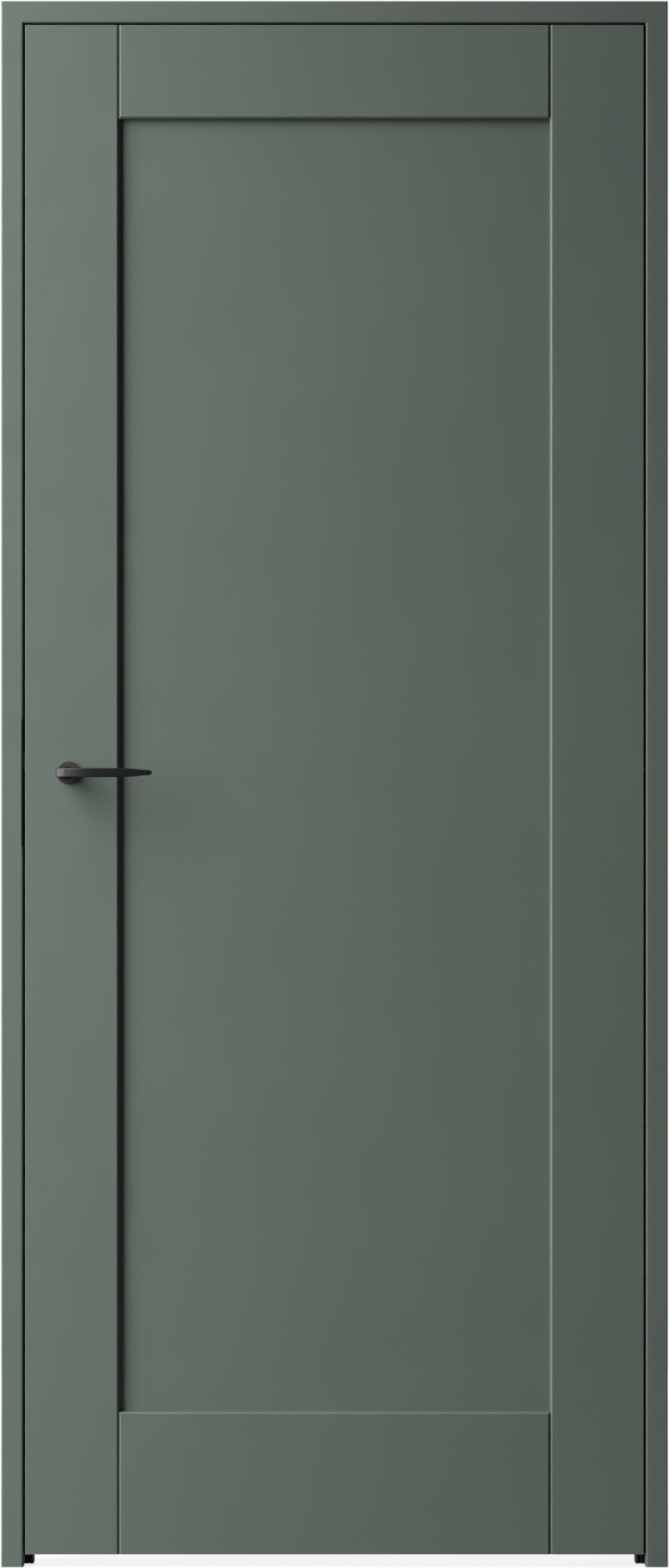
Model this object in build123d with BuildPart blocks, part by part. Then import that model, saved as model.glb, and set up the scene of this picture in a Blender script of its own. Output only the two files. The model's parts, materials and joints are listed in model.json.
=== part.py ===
# Interior door with its frame: a lacquered stile and rail leaf hung flush in a rebated, mitred frame,
# with concealed hinges, a mortise latch and a pair of slim levers.
# Millimetres. X to the hinge side, Y from the pull side to the stop side, Z up.
# The origin lies on the floor, in the middle of the width and of the leaf's thickness.
import os
from math import atan2, cos, degrees, hypot, radians, sin

from build123d import *

os.makedirs("parts", exist_ok=True)

# Clearances and cuts
over = 5.0
seat = 0.1
clear = 0.3
run_fit = 0.06

# Leaf
leaf_w = 825.0
leaf_h = 2040.0
leaf_t = 40.0
stile_w = 125.0
top_rail_h = 125.0
bottom_rail_h = 190.0
bevel = 2.8
arris = 0.8
panel_t = 20.0
panel_tongue = 11.0
panel_play = 1.0
dowel_r = 6.0
dowel_half = 60.0
top_dowel_shares = (0.27, 0.73)
bottom_dowel_shares = (0.2, 0.5, 0.8)

# Frame
side_gap = 2.5
floor_gap = 17.0
face_w = 29.5
frame_d = 78.0
rebate_d = 47.0
stop_w = 12.0
inner_edge_r = 3.0
outer_edge_r = 2.0
kerf_w = 3.2
kerf_d = 7.0
fix_r = 3.5
fix_back = 19.0
plug_r = 6.5
plug_t = 3.0
plug_seat = 9.0
lock_fix_shares = (0.087, 0.35, 0.66, 0.923)
fix_off_hinge = 38.0
fix_between_share = 0.657
corner_screw_l = 60.0
corner_screw_in = 18.0

# Countersunk screws
screw_r = 2.0
screw_head_r = 4.0
screw_head_h = 2.1
screw_l = 26.0
recess_w = 1.0
recess_l = 4.6
recess_d = 1.2

# Seals
seal_base = 1.5
seal_lobe_r = 2.85
seal_wall = 0.9
seal_stem_w = 2.4
seal_stem_d = 6.0
seal_barb = 0.3
seal_barb_h = 1.2

# Strike on the lock jamb
strike_tail = 2.5
strike_w = 29.0
strike_t = 2.6
strike_edge_r = 1.4
strike_hole_h = 27.0
strike_hole_w = 14.0
strike_hole_back = 13.2
strike_box_d = 15.0
strike_box_wall = 1.3
strike_drop = 13.5
strike_screw_in = 17.0

# Latch in the lock stile
handle_up = 1042.7
backset = 57.0
forend_tail = 22.5
forend_w = 20.0
forend_t = 3.0
forend_screw_out = 12.0
case_h = 120.0
case_d = 82.0
case_t = 15.0
case_wall = 1.5
case_screw_r = 1.5
case_screw_head_r = 2.6
case_screw_l = 9.0
case_post_r = 4.0
case_post_in = 8.0
bolt_out = 11.0
bolt_in = 13.0
bolt_w = 12.0
bolt_tip_w = 2.5
bolt_h = 24.0
bolt_up = 16.0
bolt_stroke = 11.5
shank_w = 6.0
shank_h = 8.0
fork_front_l = 4.0
fork_rear_l = 7.5
fork_wall = 3.0
fork_h = 7.0
fork_back_h = 10.0
hub_r = 11.0
hub_journal_r = 8.0
nose_r = 3.0
nose_up = 17.5
nose_gap = 0.5
hub_arm_w = 4.6
hub_arm_t = 4.0
hub_lug_r = 3.0
hub_lug_down = 16.0
fork_lead = 8.0
strip_t = 0.7
strip_w = 6.0
latch_spring_r = 7.0
latch_spring_drop = 18.0
lever_spring_r = 8.0
lever_spring_drop = 40.0

# Levers and roses
spindle_w = 8.0
spindle_in = 30.0
spindle_bore_r = 7.0
rose_r = 15.0
rose_h = 7.0
rose_wall = 1.6
rose_edge_r = 1.2
rose_base_h = 5.2
rose_screw_out = 10.8
rose_screw_r = 1.4
rose_screw_head_r = 2.0
rose_screw_l = 8.0
spigot_r = 8.0
lever_stand = 57.0
lever_heel = 15.0
lever_reach = 113.7
lever_h = 12.3
lever_lift = 0.4
lever_bend_r = 17.0
lever_sweep_deg = 17.0
lever_crown = 40.0
lever_crown_t = 10.0
lever_neck = 11.0
lever_inner_r = 14.0
lever_tip_drop = 3.2
lever_tip_t = 4.5
lever_tip_h = 5.2
lever_edge_r = 1.7
taper_shares = ((0.52, 1.0), (0.70, 0.94), (0.84, 0.785), (0.94, 0.60))
taper_end_share = 0.983
grub_r = 2.5
grub_l = 5.5
grub_up = 24.0

# Concealed hinges, measured in plan from the line that the leaf turns about
hinge_shares = (0.108, 0.5, 0.892)
turn_back = 1.5
arm_side = 5.0
arm_reach = 20.0
slide_side = 11.0
slide_back = 7.0
open_deg = 95.0
end_play_deg = 1.5
pivot_boss_r = 3.4
centre_boss_r = 3.4
slide_boss_r = 2.8
pivot_bar_w = 4.4
slide_bar_w = 5.6
pin_r = 2.0
stud_r = 1.8
relief_r = 2.6
relief_side = 0.8
relief_front = 0.9
mid_plate_h = 10.0
outer_plate_h = 5.0
web_t = 5.6
track_d = 2.4
end_track_d = 3.3
pin_end_d = 2.2
end_wall_t = 5.0
pocket_front = 4.7
house_wall = 1.2
house_floor = 1.5
house_corner_r = 4.0
flange_l = 116.0
flange_t = 2.5
hinge_screw_shares = (0.56, 0.82)

# Derived planes of the leaf and the frame
front_y = -leaf_t / 2
back_y = leaf_t / 2
leaf_x = leaf_w / 2
leaf_z0 = floor_gap
leaf_z1 = leaf_z0 + leaf_h
rail_x = leaf_x - stile_w
sill_z = leaf_z0 + bottom_rail_h
lintel_z = leaf_z1 - top_rail_h
rebate_x = leaf_x + side_gap
rebate_z = leaf_z1 + side_gap
frame_x = rebate_x + face_w
frame_z = rebate_z + face_w
soffit_x = rebate_x - stop_w
soffit_z = rebate_z - stop_w
stop_y = front_y + rebate_d
rear_y = front_y + frame_d
kerf_x = rebate_x - stop_w / 2
kerf_z = rebate_z - stop_w / 2
fix_y = front_y + fix_back

# Derived places of the latch and the levers
handle_z = leaf_z0 + handle_up
handle_x = -leaf_x + backset
plate_z = handle_z - strike_drop
forend_h = case_h + 2 * forend_tail
strike_h = forend_h + 2 * strike_tail
forend_screw_up = case_h / 2 + forend_screw_out
strike_screw_up = strike_h / 2 - strike_screw_in
bolt_z = handle_z + bolt_up
case_x0 = -leaf_x + forend_t
case_x1 = case_x0 + case_d
case_z0 = plate_z - case_h / 2
case_z1 = plate_z + case_h / 2
case_in = case_t / 2 - case_wall
bolt_x0 = -leaf_x - bolt_out
bolt_x1 = -leaf_x + bolt_in
fork_face_x = handle_x + nose_r + nose_gap
fork_end_x = fork_face_x + fork_rear_l
fork_lead_x = handle_x - nose_r - fork_lead
fork_z = handle_z + hub_r + fork_h / 2 + seat + clear
lug_face_x = handle_x - hub_lug_r

# Derived places of the hinges
turn_x = leaf_x + side_gap / 2
turn_y = front_y + turn_back
arm_l = hypot(arm_side, arm_reach / 2)
centre_pt = (turn_x, turn_y + arm_reach)
frame_pivot = (turn_x + arm_side, turn_y + arm_reach / 2)
leaf_pivot = (turn_x - arm_side, turn_y + arm_reach / 2)
frame_slide = (turn_x + slide_side, turn_y + arm_reach + slide_back)
leaf_slide = (turn_x - slide_side, turn_y + arm_reach + slide_back)
half_open = radians(open_deg / 2)
open_reach = arm_reach * cos(half_open) - 2 * arm_side * sin(half_open)
lip_side = side_gap / 2 + open_reach * sin(half_open)
lip_back = pocket_front + arm_reach - open_reach * cos(half_open)
frame_relief = (turn_x + lip_side + relief_side, turn_y + lip_back - relief_front)
leaf_relief = (turn_x - lip_side - relief_side, turn_y + lip_back - relief_front)
track_r = stud_r + seat
start_deg = degrees(atan2(arm_reach / 2, -arm_side))
sweep_deg = open_deg + 2 * end_play_deg
frame_track_c = (frame_pivot[0] + slide_side, frame_pivot[1] + slide_back)
leaf_track_c = (leaf_pivot[0] - slide_side, leaf_pivot[1] + slide_back)
frame_track = CenterArc(frame_track_c, arm_l, start_deg - end_play_deg, sweep_deg)
leaf_track = CenterArc(leaf_track_c, arm_l, 180 - start_deg - open_deg - end_play_deg, sweep_deg)
pocket_back = arm_reach + slide_back + slide_boss_r + 2 * clear
pocket_w = pocket_back - pocket_front
pocket_y = turn_y + (pocket_front + pocket_back) / 2
house_w = pocket_w + 2 * house_wall
slide_depth = slide_side + slide_boss_r + 2 * clear - side_gap / 2
pivot_depth = arm_side + pivot_boss_r + clear - side_gap / 2
house_d = slide_depth + house_floor
mid_level = mid_plate_h / 2 + clear
outer_level = mid_level + web_t
plate_level = outer_level + clear
wall_level = plate_level + outer_plate_h + clear
house_h = 2 * (wall_level + end_wall_t)
hinge_zs = [leaf_z0 + share * leaf_h for share in hinge_shares]
hinge_screw_ups = [share * flange_l / 2 for share in hinge_screw_shares]
hinge_screw_zs = [z + side * up for z in hinge_zs for up in hinge_screw_ups for side in (-1, 1)]

# Derived places of the fixings
lock_fix_zs = [share * frame_z for share in lock_fix_shares]
hinge_fix_zs = (
    hinge_zs[0] + flange_l / 2 + fix_off_hinge,
    hinge_zs[0] + fix_between_share * (hinge_zs[1] - hinge_zs[0]),
    hinge_zs[2] - fix_between_share * (hinge_zs[2] - hinge_zs[1]),
    hinge_zs[2] - flange_l / 2 - fix_off_hinge,
)
corner_ys = (front_y + corner_screw_in, rear_y - corner_screw_in)
corner_z = frame_z - face_w / 2
strike_screw_zs = (plate_z - strike_screw_up, plate_z + strike_screw_up)
forend_screw_zs = (plate_z - forend_screw_up, plate_z + forend_screw_up)
screw_shank_l = screw_l - screw_head_h
pilot_r = screw_r + seat
sink_r = screw_head_r + seat
top_dowel_zs = [lintel_z + share * top_rail_h for share in top_dowel_shares]
bottom_dowel_zs = [leaf_z0 + share * bottom_rail_h for share in bottom_dowel_shares]
dowel_zs = bottom_dowel_zs + top_dowel_zs
from_left = (Align.CENTER, Align.CENTER, Align.MIN)

# Lock jamb
with BuildPart() as lock_jamb:
    with BuildSketch(Plane.XY) as lock_jamb_plan:
        with BuildLine():
            Polyline(
                (-frame_x, front_y),
                (-rebate_x, front_y),
                (-rebate_x, stop_y),
                (-soffit_x, stop_y),
                (-soffit_x, rear_y),
                (-frame_x, rear_y),
                close=True,
            )
        make_face()
        inner = lock_jamb_plan.vertices().sort_by_distance((-rebate_x, front_y))[0]
        fillet(inner, inner_edge_r)
        outer = lock_jamb_plan.vertices().sort_by_distance((-frame_x, front_y))[0]
        fillet(outer, outer_edge_r)
        rear = lock_jamb_plan.vertices().sort_by_distance((-soffit_x, rear_y))[0]
        fillet(rear, outer_edge_r)
        with Locations((-kerf_x, stop_y + kerf_d / 2)):
            Rectangle(kerf_w, kerf_d, mode=Mode.SUBTRACT)
    extrude(amount=frame_z)
    with BuildSketch(Plane.XZ.offset(-rear_y - over)):
        with BuildLine():
            Polyline(
                (-frame_x - over, frame_z + over),
                (-soffit_x + over, soffit_z - over),
                (-soffit_x + over, frame_z + over),
                close=True,
            )
        make_face()
    extrude(amount=frame_d + 2 * over, mode=Mode.SUBTRACT)
    with BuildSketch(Plane.YZ.offset(-frame_x - over)):
        with Locations(*[(fix_y, z) for z in lock_fix_zs]):
            Circle(fix_r)
    extrude(amount=face_w + 2 * over, mode=Mode.SUBTRACT)
    with BuildSketch(Plane.YZ.offset(-rebate_x - plug_seat)):
        with Locations(*[(fix_y, z) for z in lock_fix_zs]):
            Circle(plug_r)
    extrude(amount=plug_seat + over, mode=Mode.SUBTRACT)
    with BuildSketch(Plane.YZ.offset(-rebate_x - strike_t - seat)):
        with Locations((front_y + (strike_w + seat - over) / 2, plate_z)):
            Rectangle(strike_w + seat + over, strike_h + 2 * seat)
    extrude(amount=strike_t + seat + over, mode=Mode.SUBTRACT)
    with BuildSketch(Plane.YZ.offset(-rebate_x - strike_t - strike_box_d - 2 * seat)):
        with Locations((front_y + strike_hole_back + strike_hole_w / 2, bolt_z)):
            Rectangle(
                strike_hole_w + 2 * (strike_box_wall + clear),
                strike_hole_h + 2 * (strike_box_wall + clear),
            )
    extrude(amount=strike_box_d + strike_t + over, mode=Mode.SUBTRACT)
    with Locations(*[(-rebate_x - strike_t, front_y + strike_w / 2, z) for z in strike_screw_zs]):
        Cylinder(pilot_r, screw_l, rotation=(0, -90, 0), align=from_left, mode=Mode.SUBTRACT)
    with Locations(*[(-frame_x, y, corner_z) for y in corner_ys]):
        Cone(sink_r, pilot_r, screw_head_h, rotation=(0, 90, 0), align=from_left, mode=Mode.SUBTRACT)
        Cylinder(pilot_r, corner_screw_l, rotation=(0, 90, 0), align=from_left, mode=Mode.SUBTRACT)
lock_jamb.part.label = "lock_jamb"
export_step(lock_jamb.part, "parts/lock_jamb.step")

# Hinge jamb
with BuildPart() as hinge_jamb:
    with BuildSketch(Plane.XY) as hinge_jamb_plan:
        with BuildLine():
            Polyline(
                (frame_x, front_y),
                (rebate_x, front_y),
                (rebate_x, stop_y),
                (soffit_x, stop_y),
                (soffit_x, rear_y),
                (frame_x, rear_y),
                close=True,
            )
        make_face()
        inner = hinge_jamb_plan.vertices().sort_by_distance((rebate_x, front_y))[0]
        fillet(inner, inner_edge_r)
        outer = hinge_jamb_plan.vertices().sort_by_distance((frame_x, front_y))[0]
        fillet(outer, outer_edge_r)
        rear = hinge_jamb_plan.vertices().sort_by_distance((soffit_x, rear_y))[0]
        fillet(rear, outer_edge_r)
        with Locations((kerf_x, stop_y + kerf_d / 2)):
            Rectangle(kerf_w, kerf_d, mode=Mode.SUBTRACT)
    extrude(amount=frame_z)
    with BuildSketch(Plane.XZ.offset(-rear_y - over)):
        with BuildLine():
            Polyline(
                (frame_x + over, frame_z + over),
                (soffit_x - over, soffit_z - over),
                (soffit_x - over, frame_z + over),
                close=True,
            )
        make_face()
    extrude(amount=frame_d + 2 * over, mode=Mode.SUBTRACT)
    with BuildSketch(Plane.YZ.offset(rebate_x - over)):
        with Locations(*[(fix_y, z) for z in hinge_fix_zs]):
            Circle(fix_r)
    extrude(amount=face_w + 2 * over, mode=Mode.SUBTRACT)
    with BuildSketch(Plane.YZ.offset(rebate_x - over)):
        with Locations(*[(fix_y, z) for z in hinge_fix_zs]):
            Circle(plug_r)
    extrude(amount=plug_seat + over, mode=Mode.SUBTRACT)
    with BuildSketch(Plane.YZ.offset(rebate_x - over)):
        with Locations(*[(pocket_y, z) for z in hinge_zs]):
            SlotOverall(flange_l + 2 * seat, house_w + 2 * seat, rotation=90)
    extrude(amount=flange_t + seat + over, mode=Mode.SUBTRACT)
    with BuildSketch(Plane.YZ.offset(rebate_x - over)):
        with Locations(*[(pocket_y, z) for z in hinge_zs]):
            RectangleRounded(house_w + 2 * seat, house_h + 2 * seat, house_corner_r)
    extrude(amount=house_d + seat + over, mode=Mode.SUBTRACT)
    with Locations(*[(rebate_x, pocket_y, z) for z in hinge_screw_zs]):
        Cylinder(pilot_r, screw_l + seat, rotation=(0, 90, 0), align=from_left, mode=Mode.SUBTRACT)
    with Locations(*[(frame_x, y, corner_z) for y in corner_ys]):
        Cone(sink_r, pilot_r, screw_head_h, rotation=(0, -90, 0), align=from_left, mode=Mode.SUBTRACT)
        Cylinder(pilot_r, corner_screw_l, rotation=(0, -90, 0), align=from_left, mode=Mode.SUBTRACT)
hinge_jamb.part.label = "hinge_jamb"
export_step(hinge_jamb.part, "parts/hinge_jamb.step")

# Head of the frame
with BuildPart() as head_jamb:
    with BuildSketch(Plane.YZ.offset(-frame_x)) as head_section:
        with BuildLine():
            Polyline(
                (front_y, frame_z),
                (front_y, rebate_z),
                (stop_y, rebate_z),
                (stop_y, soffit_z),
                (rear_y, soffit_z),
                (rear_y, frame_z),
                close=True,
            )
        make_face()
        inner = head_section.vertices().sort_by_distance((front_y, rebate_z))[0]
        fillet(inner, inner_edge_r)
        outer = head_section.vertices().sort_by_distance((front_y, frame_z))[0]
        fillet(outer, outer_edge_r)
        rear = head_section.vertices().sort_by_distance((rear_y, soffit_z))[0]
        fillet(rear, outer_edge_r)
        with Locations((stop_y + kerf_d / 2, kerf_z)):
            Rectangle(kerf_d, kerf_w, mode=Mode.SUBTRACT)
    extrude(amount=2 * frame_x)
    with BuildSketch(Plane.XZ.offset(-rear_y - over)):
        with BuildLine():
            Polyline(
                (-frame_x - over, frame_z + over),
                (-soffit_x + over, soffit_z - over),
                (-frame_x - over, soffit_z - over),
                close=True,
            )
        make_face()
        mirror(about=Plane.YZ)
    extrude(amount=frame_d + 2 * over, mode=Mode.SUBTRACT)
    with Locations(*[(-frame_x, y, corner_z) for y in corner_ys]):
        Cylinder(pilot_r, corner_screw_l, rotation=(0, 90, 0), align=from_left, mode=Mode.SUBTRACT)
    with Locations(*[(frame_x, y, corner_z) for y in corner_ys]):
        Cylinder(pilot_r, corner_screw_l, rotation=(0, -90, 0), align=from_left, mode=Mode.SUBTRACT)
head_jamb.part.label = "head_jamb"
export_step(head_jamb.part, "parts/head_jamb.step")

# Corner screws through the mitres
with BuildPart() as corner_screws:
    with Locations(*[(-frame_x, y, corner_z) for y in corner_ys]):
        Cone(screw_head_r, screw_r, screw_head_h, rotation=(0, 90, 0), align=from_left)
        Cylinder(screw_r, corner_screw_l - seat, rotation=(0, 90, 0), align=from_left)
    with Locations(*[(frame_x, y, corner_z) for y in corner_ys]):
        Cone(screw_head_r, screw_r, screw_head_h, rotation=(0, -90, 0), align=from_left)
        Cylinder(screw_r, corner_screw_l - seat, rotation=(0, -90, 0), align=from_left)
corner_screws.part.label = "corner_screws"
export_step(corner_screws.part, "parts/corner_screws.step")

# Plugs over the fixing holes
with BuildPart() as fixing_plugs:
    with Locations(*[(-rebate_x - plug_t, fix_y, z) for z in lock_fix_zs]):
        Cylinder(plug_r - seat, plug_t, rotation=(0, 90, 0), align=from_left)
    with Locations(*[(rebate_x, fix_y, z) for z in hinge_fix_zs]):
        Cylinder(plug_r - seat, plug_t, rotation=(0, 90, 0), align=from_left)
fixing_plugs.part.label = "fixing_plugs"
export_step(fixing_plugs.part, "parts/fixing_plugs.step")

# Seals: a base on the stop, two hollow lobes towards the leaf and a barbed stem in the kerf
lobe_y = back_y + clear + seal_lobe_r
base_y = stop_y - seal_base / 2
lobe_out = stop_w / 2 - seal_lobe_r - seat
web_y = (lobe_y + stop_y) / 2
web_l = stop_y - lobe_y

with BuildPart() as lock_seal:
    with BuildSketch(Plane.XY):
        with Locations((-kerf_x - lobe_out, lobe_y), (-kerf_x + lobe_out, lobe_y)):
            Circle(seal_lobe_r)
        with Locations((-kerf_x - lobe_out, web_y), (-kerf_x + lobe_out, web_y)):
            Rectangle(seal_lobe_r, web_l)
        with Locations((-kerf_x, base_y)):
            Rectangle(stop_w - 2 * seat, seal_base)
        with Locations((-kerf_x, stop_y + seal_stem_d / 2)):
            Rectangle(seal_stem_w, seal_stem_d)
        with Locations((-kerf_x, stop_y + seal_stem_d - seal_barb_h)):
            Rectangle(seal_stem_w + 2 * seal_barb, seal_barb_h)
        with Locations((-kerf_x - lobe_out, lobe_y), (-kerf_x + lobe_out, lobe_y)):
            Circle(seal_lobe_r - seal_wall, mode=Mode.SUBTRACT)
    extrude(amount=rebate_z - seat)
    with BuildSketch(Plane.XZ.offset(-rear_y - over)):
        with BuildLine():
            Polyline(
                (-rebate_x - over, rebate_z + over),
                (-soffit_x + over, soffit_z - over),
                (-soffit_x + over, rebate_z + over),
                close=True,
            )
        make_face()
    extrude(amount=frame_d + 2 * over, mode=Mode.SUBTRACT)
lock_seal.part.label = "lock_seal"
export_step(lock_seal.part, "parts/lock_seal.step")

with BuildPart() as hinge_seal:
    add(lock_seal.part.mirror(Plane.YZ))
hinge_seal.part.label = "hinge_seal"
export_step(hinge_seal.part, "parts/hinge_seal.step")

with BuildPart() as head_seal:
    with BuildSketch(Plane.YZ.offset(-rebate_x + seat)):
        with Locations((lobe_y, kerf_z - lobe_out), (lobe_y, kerf_z + lobe_out)):
            Circle(seal_lobe_r)
        with Locations((web_y, kerf_z - lobe_out), (web_y, kerf_z + lobe_out)):
            Rectangle(web_l, seal_lobe_r)
        with Locations((base_y, kerf_z)):
            Rectangle(seal_base, stop_w - 2 * seat)
        with Locations((stop_y + seal_stem_d / 2, kerf_z)):
            Rectangle(seal_stem_d, seal_stem_w)
        with Locations((stop_y + seal_stem_d - seal_barb_h, kerf_z)):
            Rectangle(seal_barb_h, seal_stem_w + 2 * seal_barb)
        with Locations((lobe_y, kerf_z - lobe_out), (lobe_y, kerf_z + lobe_out)):
            Circle(seal_lobe_r - seal_wall, mode=Mode.SUBTRACT)
    extrude(amount=2 * (rebate_x - seat))
    with BuildSketch(Plane.XZ.offset(-rear_y - over)):
        with BuildLine():
            Polyline(
                (-rebate_x - over, rebate_z + over),
                (-soffit_x + over, soffit_z - over),
                (-rebate_x - over, soffit_z - over),
                close=True,
            )
        make_face()
        mirror(about=Plane.YZ)
    extrude(amount=frame_d + 2 * over, mode=Mode.SUBTRACT)
head_seal.part.label = "head_seal"
export_step(head_seal.part, "parts/head_seal.step")

# Strike plate, box and screws
with BuildPart() as strike_plate:
    with BuildSketch(Plane.XY.offset(plate_z - strike_h / 2)) as strike_plan:
        with Locations((-rebate_x - strike_t / 2, front_y + strike_w / 2)):
            Rectangle(strike_t, strike_w)
        lip = strike_plan.vertices().sort_by_distance((-rebate_x, front_y))[0]
        fillet(lip, strike_edge_r)
    extrude(amount=strike_h)
    with BuildSketch(Plane.YZ.offset(-rebate_x - strike_t - over)):
        with Locations((front_y + strike_hole_back + strike_hole_w / 2, bolt_z)):
            Rectangle(strike_hole_w, strike_hole_h)
    extrude(amount=strike_t + 2 * over, mode=Mode.SUBTRACT)
    with Locations(*[(-rebate_x, front_y + strike_w / 2, z) for z in strike_screw_zs]):
        Cone(sink_r, pilot_r, screw_head_h, rotation=(0, -90, 0), align=from_left, mode=Mode.SUBTRACT)
        Cylinder(pilot_r, screw_l, rotation=(0, -90, 0), align=from_left, mode=Mode.SUBTRACT)
strike_plate.part.label = "strike_plate"
export_step(strike_plate.part, "parts/strike_plate.step")

with BuildPart() as strike_box:
    with BuildSketch(Plane.YZ.offset(-rebate_x - strike_t - strike_box_d - seat)):
        with Locations((front_y + strike_hole_back + strike_hole_w / 2, bolt_z)):
            Rectangle(strike_hole_w + 2 * strike_box_wall, strike_hole_h + 2 * strike_box_wall)
    extrude(amount=strike_box_d)
    with BuildSketch(Plane.YZ.offset(-rebate_x - strike_t - strike_box_d - seat + strike_box_wall)):
        with Locations((front_y + strike_hole_back + strike_hole_w / 2, bolt_z)):
            Rectangle(strike_hole_w, strike_hole_h)
    extrude(amount=strike_box_d, mode=Mode.SUBTRACT)
strike_box.part.label = "strike_box"
export_step(strike_box.part, "parts/strike_box.step")

with BuildPart() as strike_screws:
    with Locations(*[(-rebate_x, front_y + strike_w / 2, z) for z in strike_screw_zs]):
        Cone(screw_head_r, screw_r, screw_head_h, rotation=(0, -90, 0), align=from_left)
        Cylinder(screw_r, screw_l, rotation=(0, -90, 0), align=from_left)
        Box(2 * recess_d, recess_w, recess_l, mode=Mode.SUBTRACT)
        Box(2 * recess_d, recess_l, recess_w, mode=Mode.SUBTRACT)
strike_screws.part.label = "strike_screws"
export_step(strike_screws.part, "parts/strike_screws.step")

# Lock stile, with the mortise of the latch
with BuildPart() as lock_stile:
    with BuildSketch(Plane.XY.offset(leaf_z0)) as lock_stile_plan:
        with Locations((-leaf_x + stile_w / 2, 0)):
            Rectangle(stile_w, leaf_t)
        inner = lock_stile_plan.vertices().sort_by(Axis.X)[-2:]
        chamfer(inner, bevel)
        outer = lock_stile_plan.vertices().sort_by(Axis.X)[:2]
        fillet(outer, arris)
    extrude(amount=leaf_h)
    with BuildSketch(Plane.YZ.offset(-rail_x - panel_tongue - panel_play)):
        with Locations((0, (sill_z + lintel_z) / 2)):
            Rectangle(panel_t + 2 * seat, lintel_z - sill_z + 2 * (panel_tongue + panel_play))
    extrude(amount=panel_tongue + panel_play + over, mode=Mode.SUBTRACT)
    with Locations(*[(-rail_x - dowel_half - seat, 0, z) for z in dowel_zs]):
        Cylinder(
            dowel_r + seat,
            dowel_half + over,
            rotation=(0, 90, 0),
            align=from_left,
            mode=Mode.SUBTRACT,
        )
    with BuildSketch(Plane.YZ.offset(-leaf_x - over)):
        with Locations((0, plate_z)):
            SlotOverall(forend_h + 2 * seat, forend_w + 2 * seat, rotation=90)
    extrude(amount=forend_t + seat + over, mode=Mode.SUBTRACT)
    with BuildSketch(Plane.YZ.offset(-leaf_x - over)):
        with Locations((0, plate_z)):
            Rectangle(case_t + 2 * clear, case_h + 2 * clear)
    extrude(amount=forend_t + case_d + clear + over, mode=Mode.SUBTRACT)
    with Locations((handle_x, 0, handle_z)):
        Cylinder(spindle_bore_r, leaf_t + 2 * over, rotation=(90, 0, 0), mode=Mode.SUBTRACT)
    with Locations(*[(-leaf_x + forend_t, 0, z) for z in forend_screw_zs]):
        Cylinder(pilot_r, screw_l, rotation=(0, 90, 0), align=from_left, mode=Mode.SUBTRACT)
    with Locations(
        (handle_x - rose_screw_out, front_y, handle_z),
        (handle_x + rose_screw_out, front_y, handle_z),
    ):
        Cylinder(rose_screw_r + seat, 2 * rose_screw_l, rotation=(90, 0, 0), mode=Mode.SUBTRACT)
    with Locations(
        (handle_x - rose_screw_out, back_y, handle_z),
        (handle_x + rose_screw_out, back_y, handle_z),
    ):
        Cylinder(rose_screw_r + seat, 2 * rose_screw_l, rotation=(90, 0, 0), mode=Mode.SUBTRACT)
lock_stile.part.label = "lock_stile"
export_step(lock_stile.part, "parts/lock_stile.step")

# Hinge stile, with the pockets of the hinges
with BuildPart() as hinge_stile:
    with BuildSketch(Plane.XY.offset(leaf_z0)) as hinge_stile_plan:
        with Locations((leaf_x - stile_w / 2, 0)):
            Rectangle(stile_w, leaf_t)
        inner = hinge_stile_plan.vertices().sort_by(Axis.X)[:2]
        chamfer(inner, bevel)
        outer = hinge_stile_plan.vertices().sort_by(Axis.X)[-2:]
        fillet(outer, arris)
    extrude(amount=leaf_h)
    with BuildSketch(Plane.YZ.offset(rail_x - over)):
        with Locations((0, (sill_z + lintel_z) / 2)):
            Rectangle(panel_t + 2 * seat, lintel_z - sill_z + 2 * (panel_tongue + panel_play))
    extrude(amount=panel_tongue + panel_play + over, mode=Mode.SUBTRACT)
    with Locations(*[(rail_x + dowel_half + seat, 0, z) for z in dowel_zs]):
        Cylinder(
            dowel_r + seat,
            dowel_half + over,
            rotation=(0, -90, 0),
            align=from_left,
            mode=Mode.SUBTRACT,
        )
    with BuildSketch(Plane.YZ.offset(leaf_x - flange_t - seat)):
        with Locations(*[(pocket_y, z) for z in hinge_zs]):
            SlotOverall(flange_l + 2 * seat, house_w + 2 * seat, rotation=90)
    extrude(amount=flange_t + over, mode=Mode.SUBTRACT)
    with BuildSketch(Plane.YZ.offset(leaf_x - house_d - seat)):
        with Locations(*[(pocket_y, z) for z in hinge_zs]):
            RectangleRounded(house_w + 2 * seat, house_h + 2 * seat, house_corner_r)
    extrude(amount=house_d + over, mode=Mode.SUBTRACT)
    with Locations(*[(leaf_x, pocket_y, z) for z in hinge_screw_zs]):
        Cylinder(pilot_r, screw_l + seat, rotation=(0, -90, 0), align=from_left, mode=Mode.SUBTRACT)
hinge_stile.part.label = "hinge_stile"
export_step(hinge_stile.part, "parts/hinge_stile.step")

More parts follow.
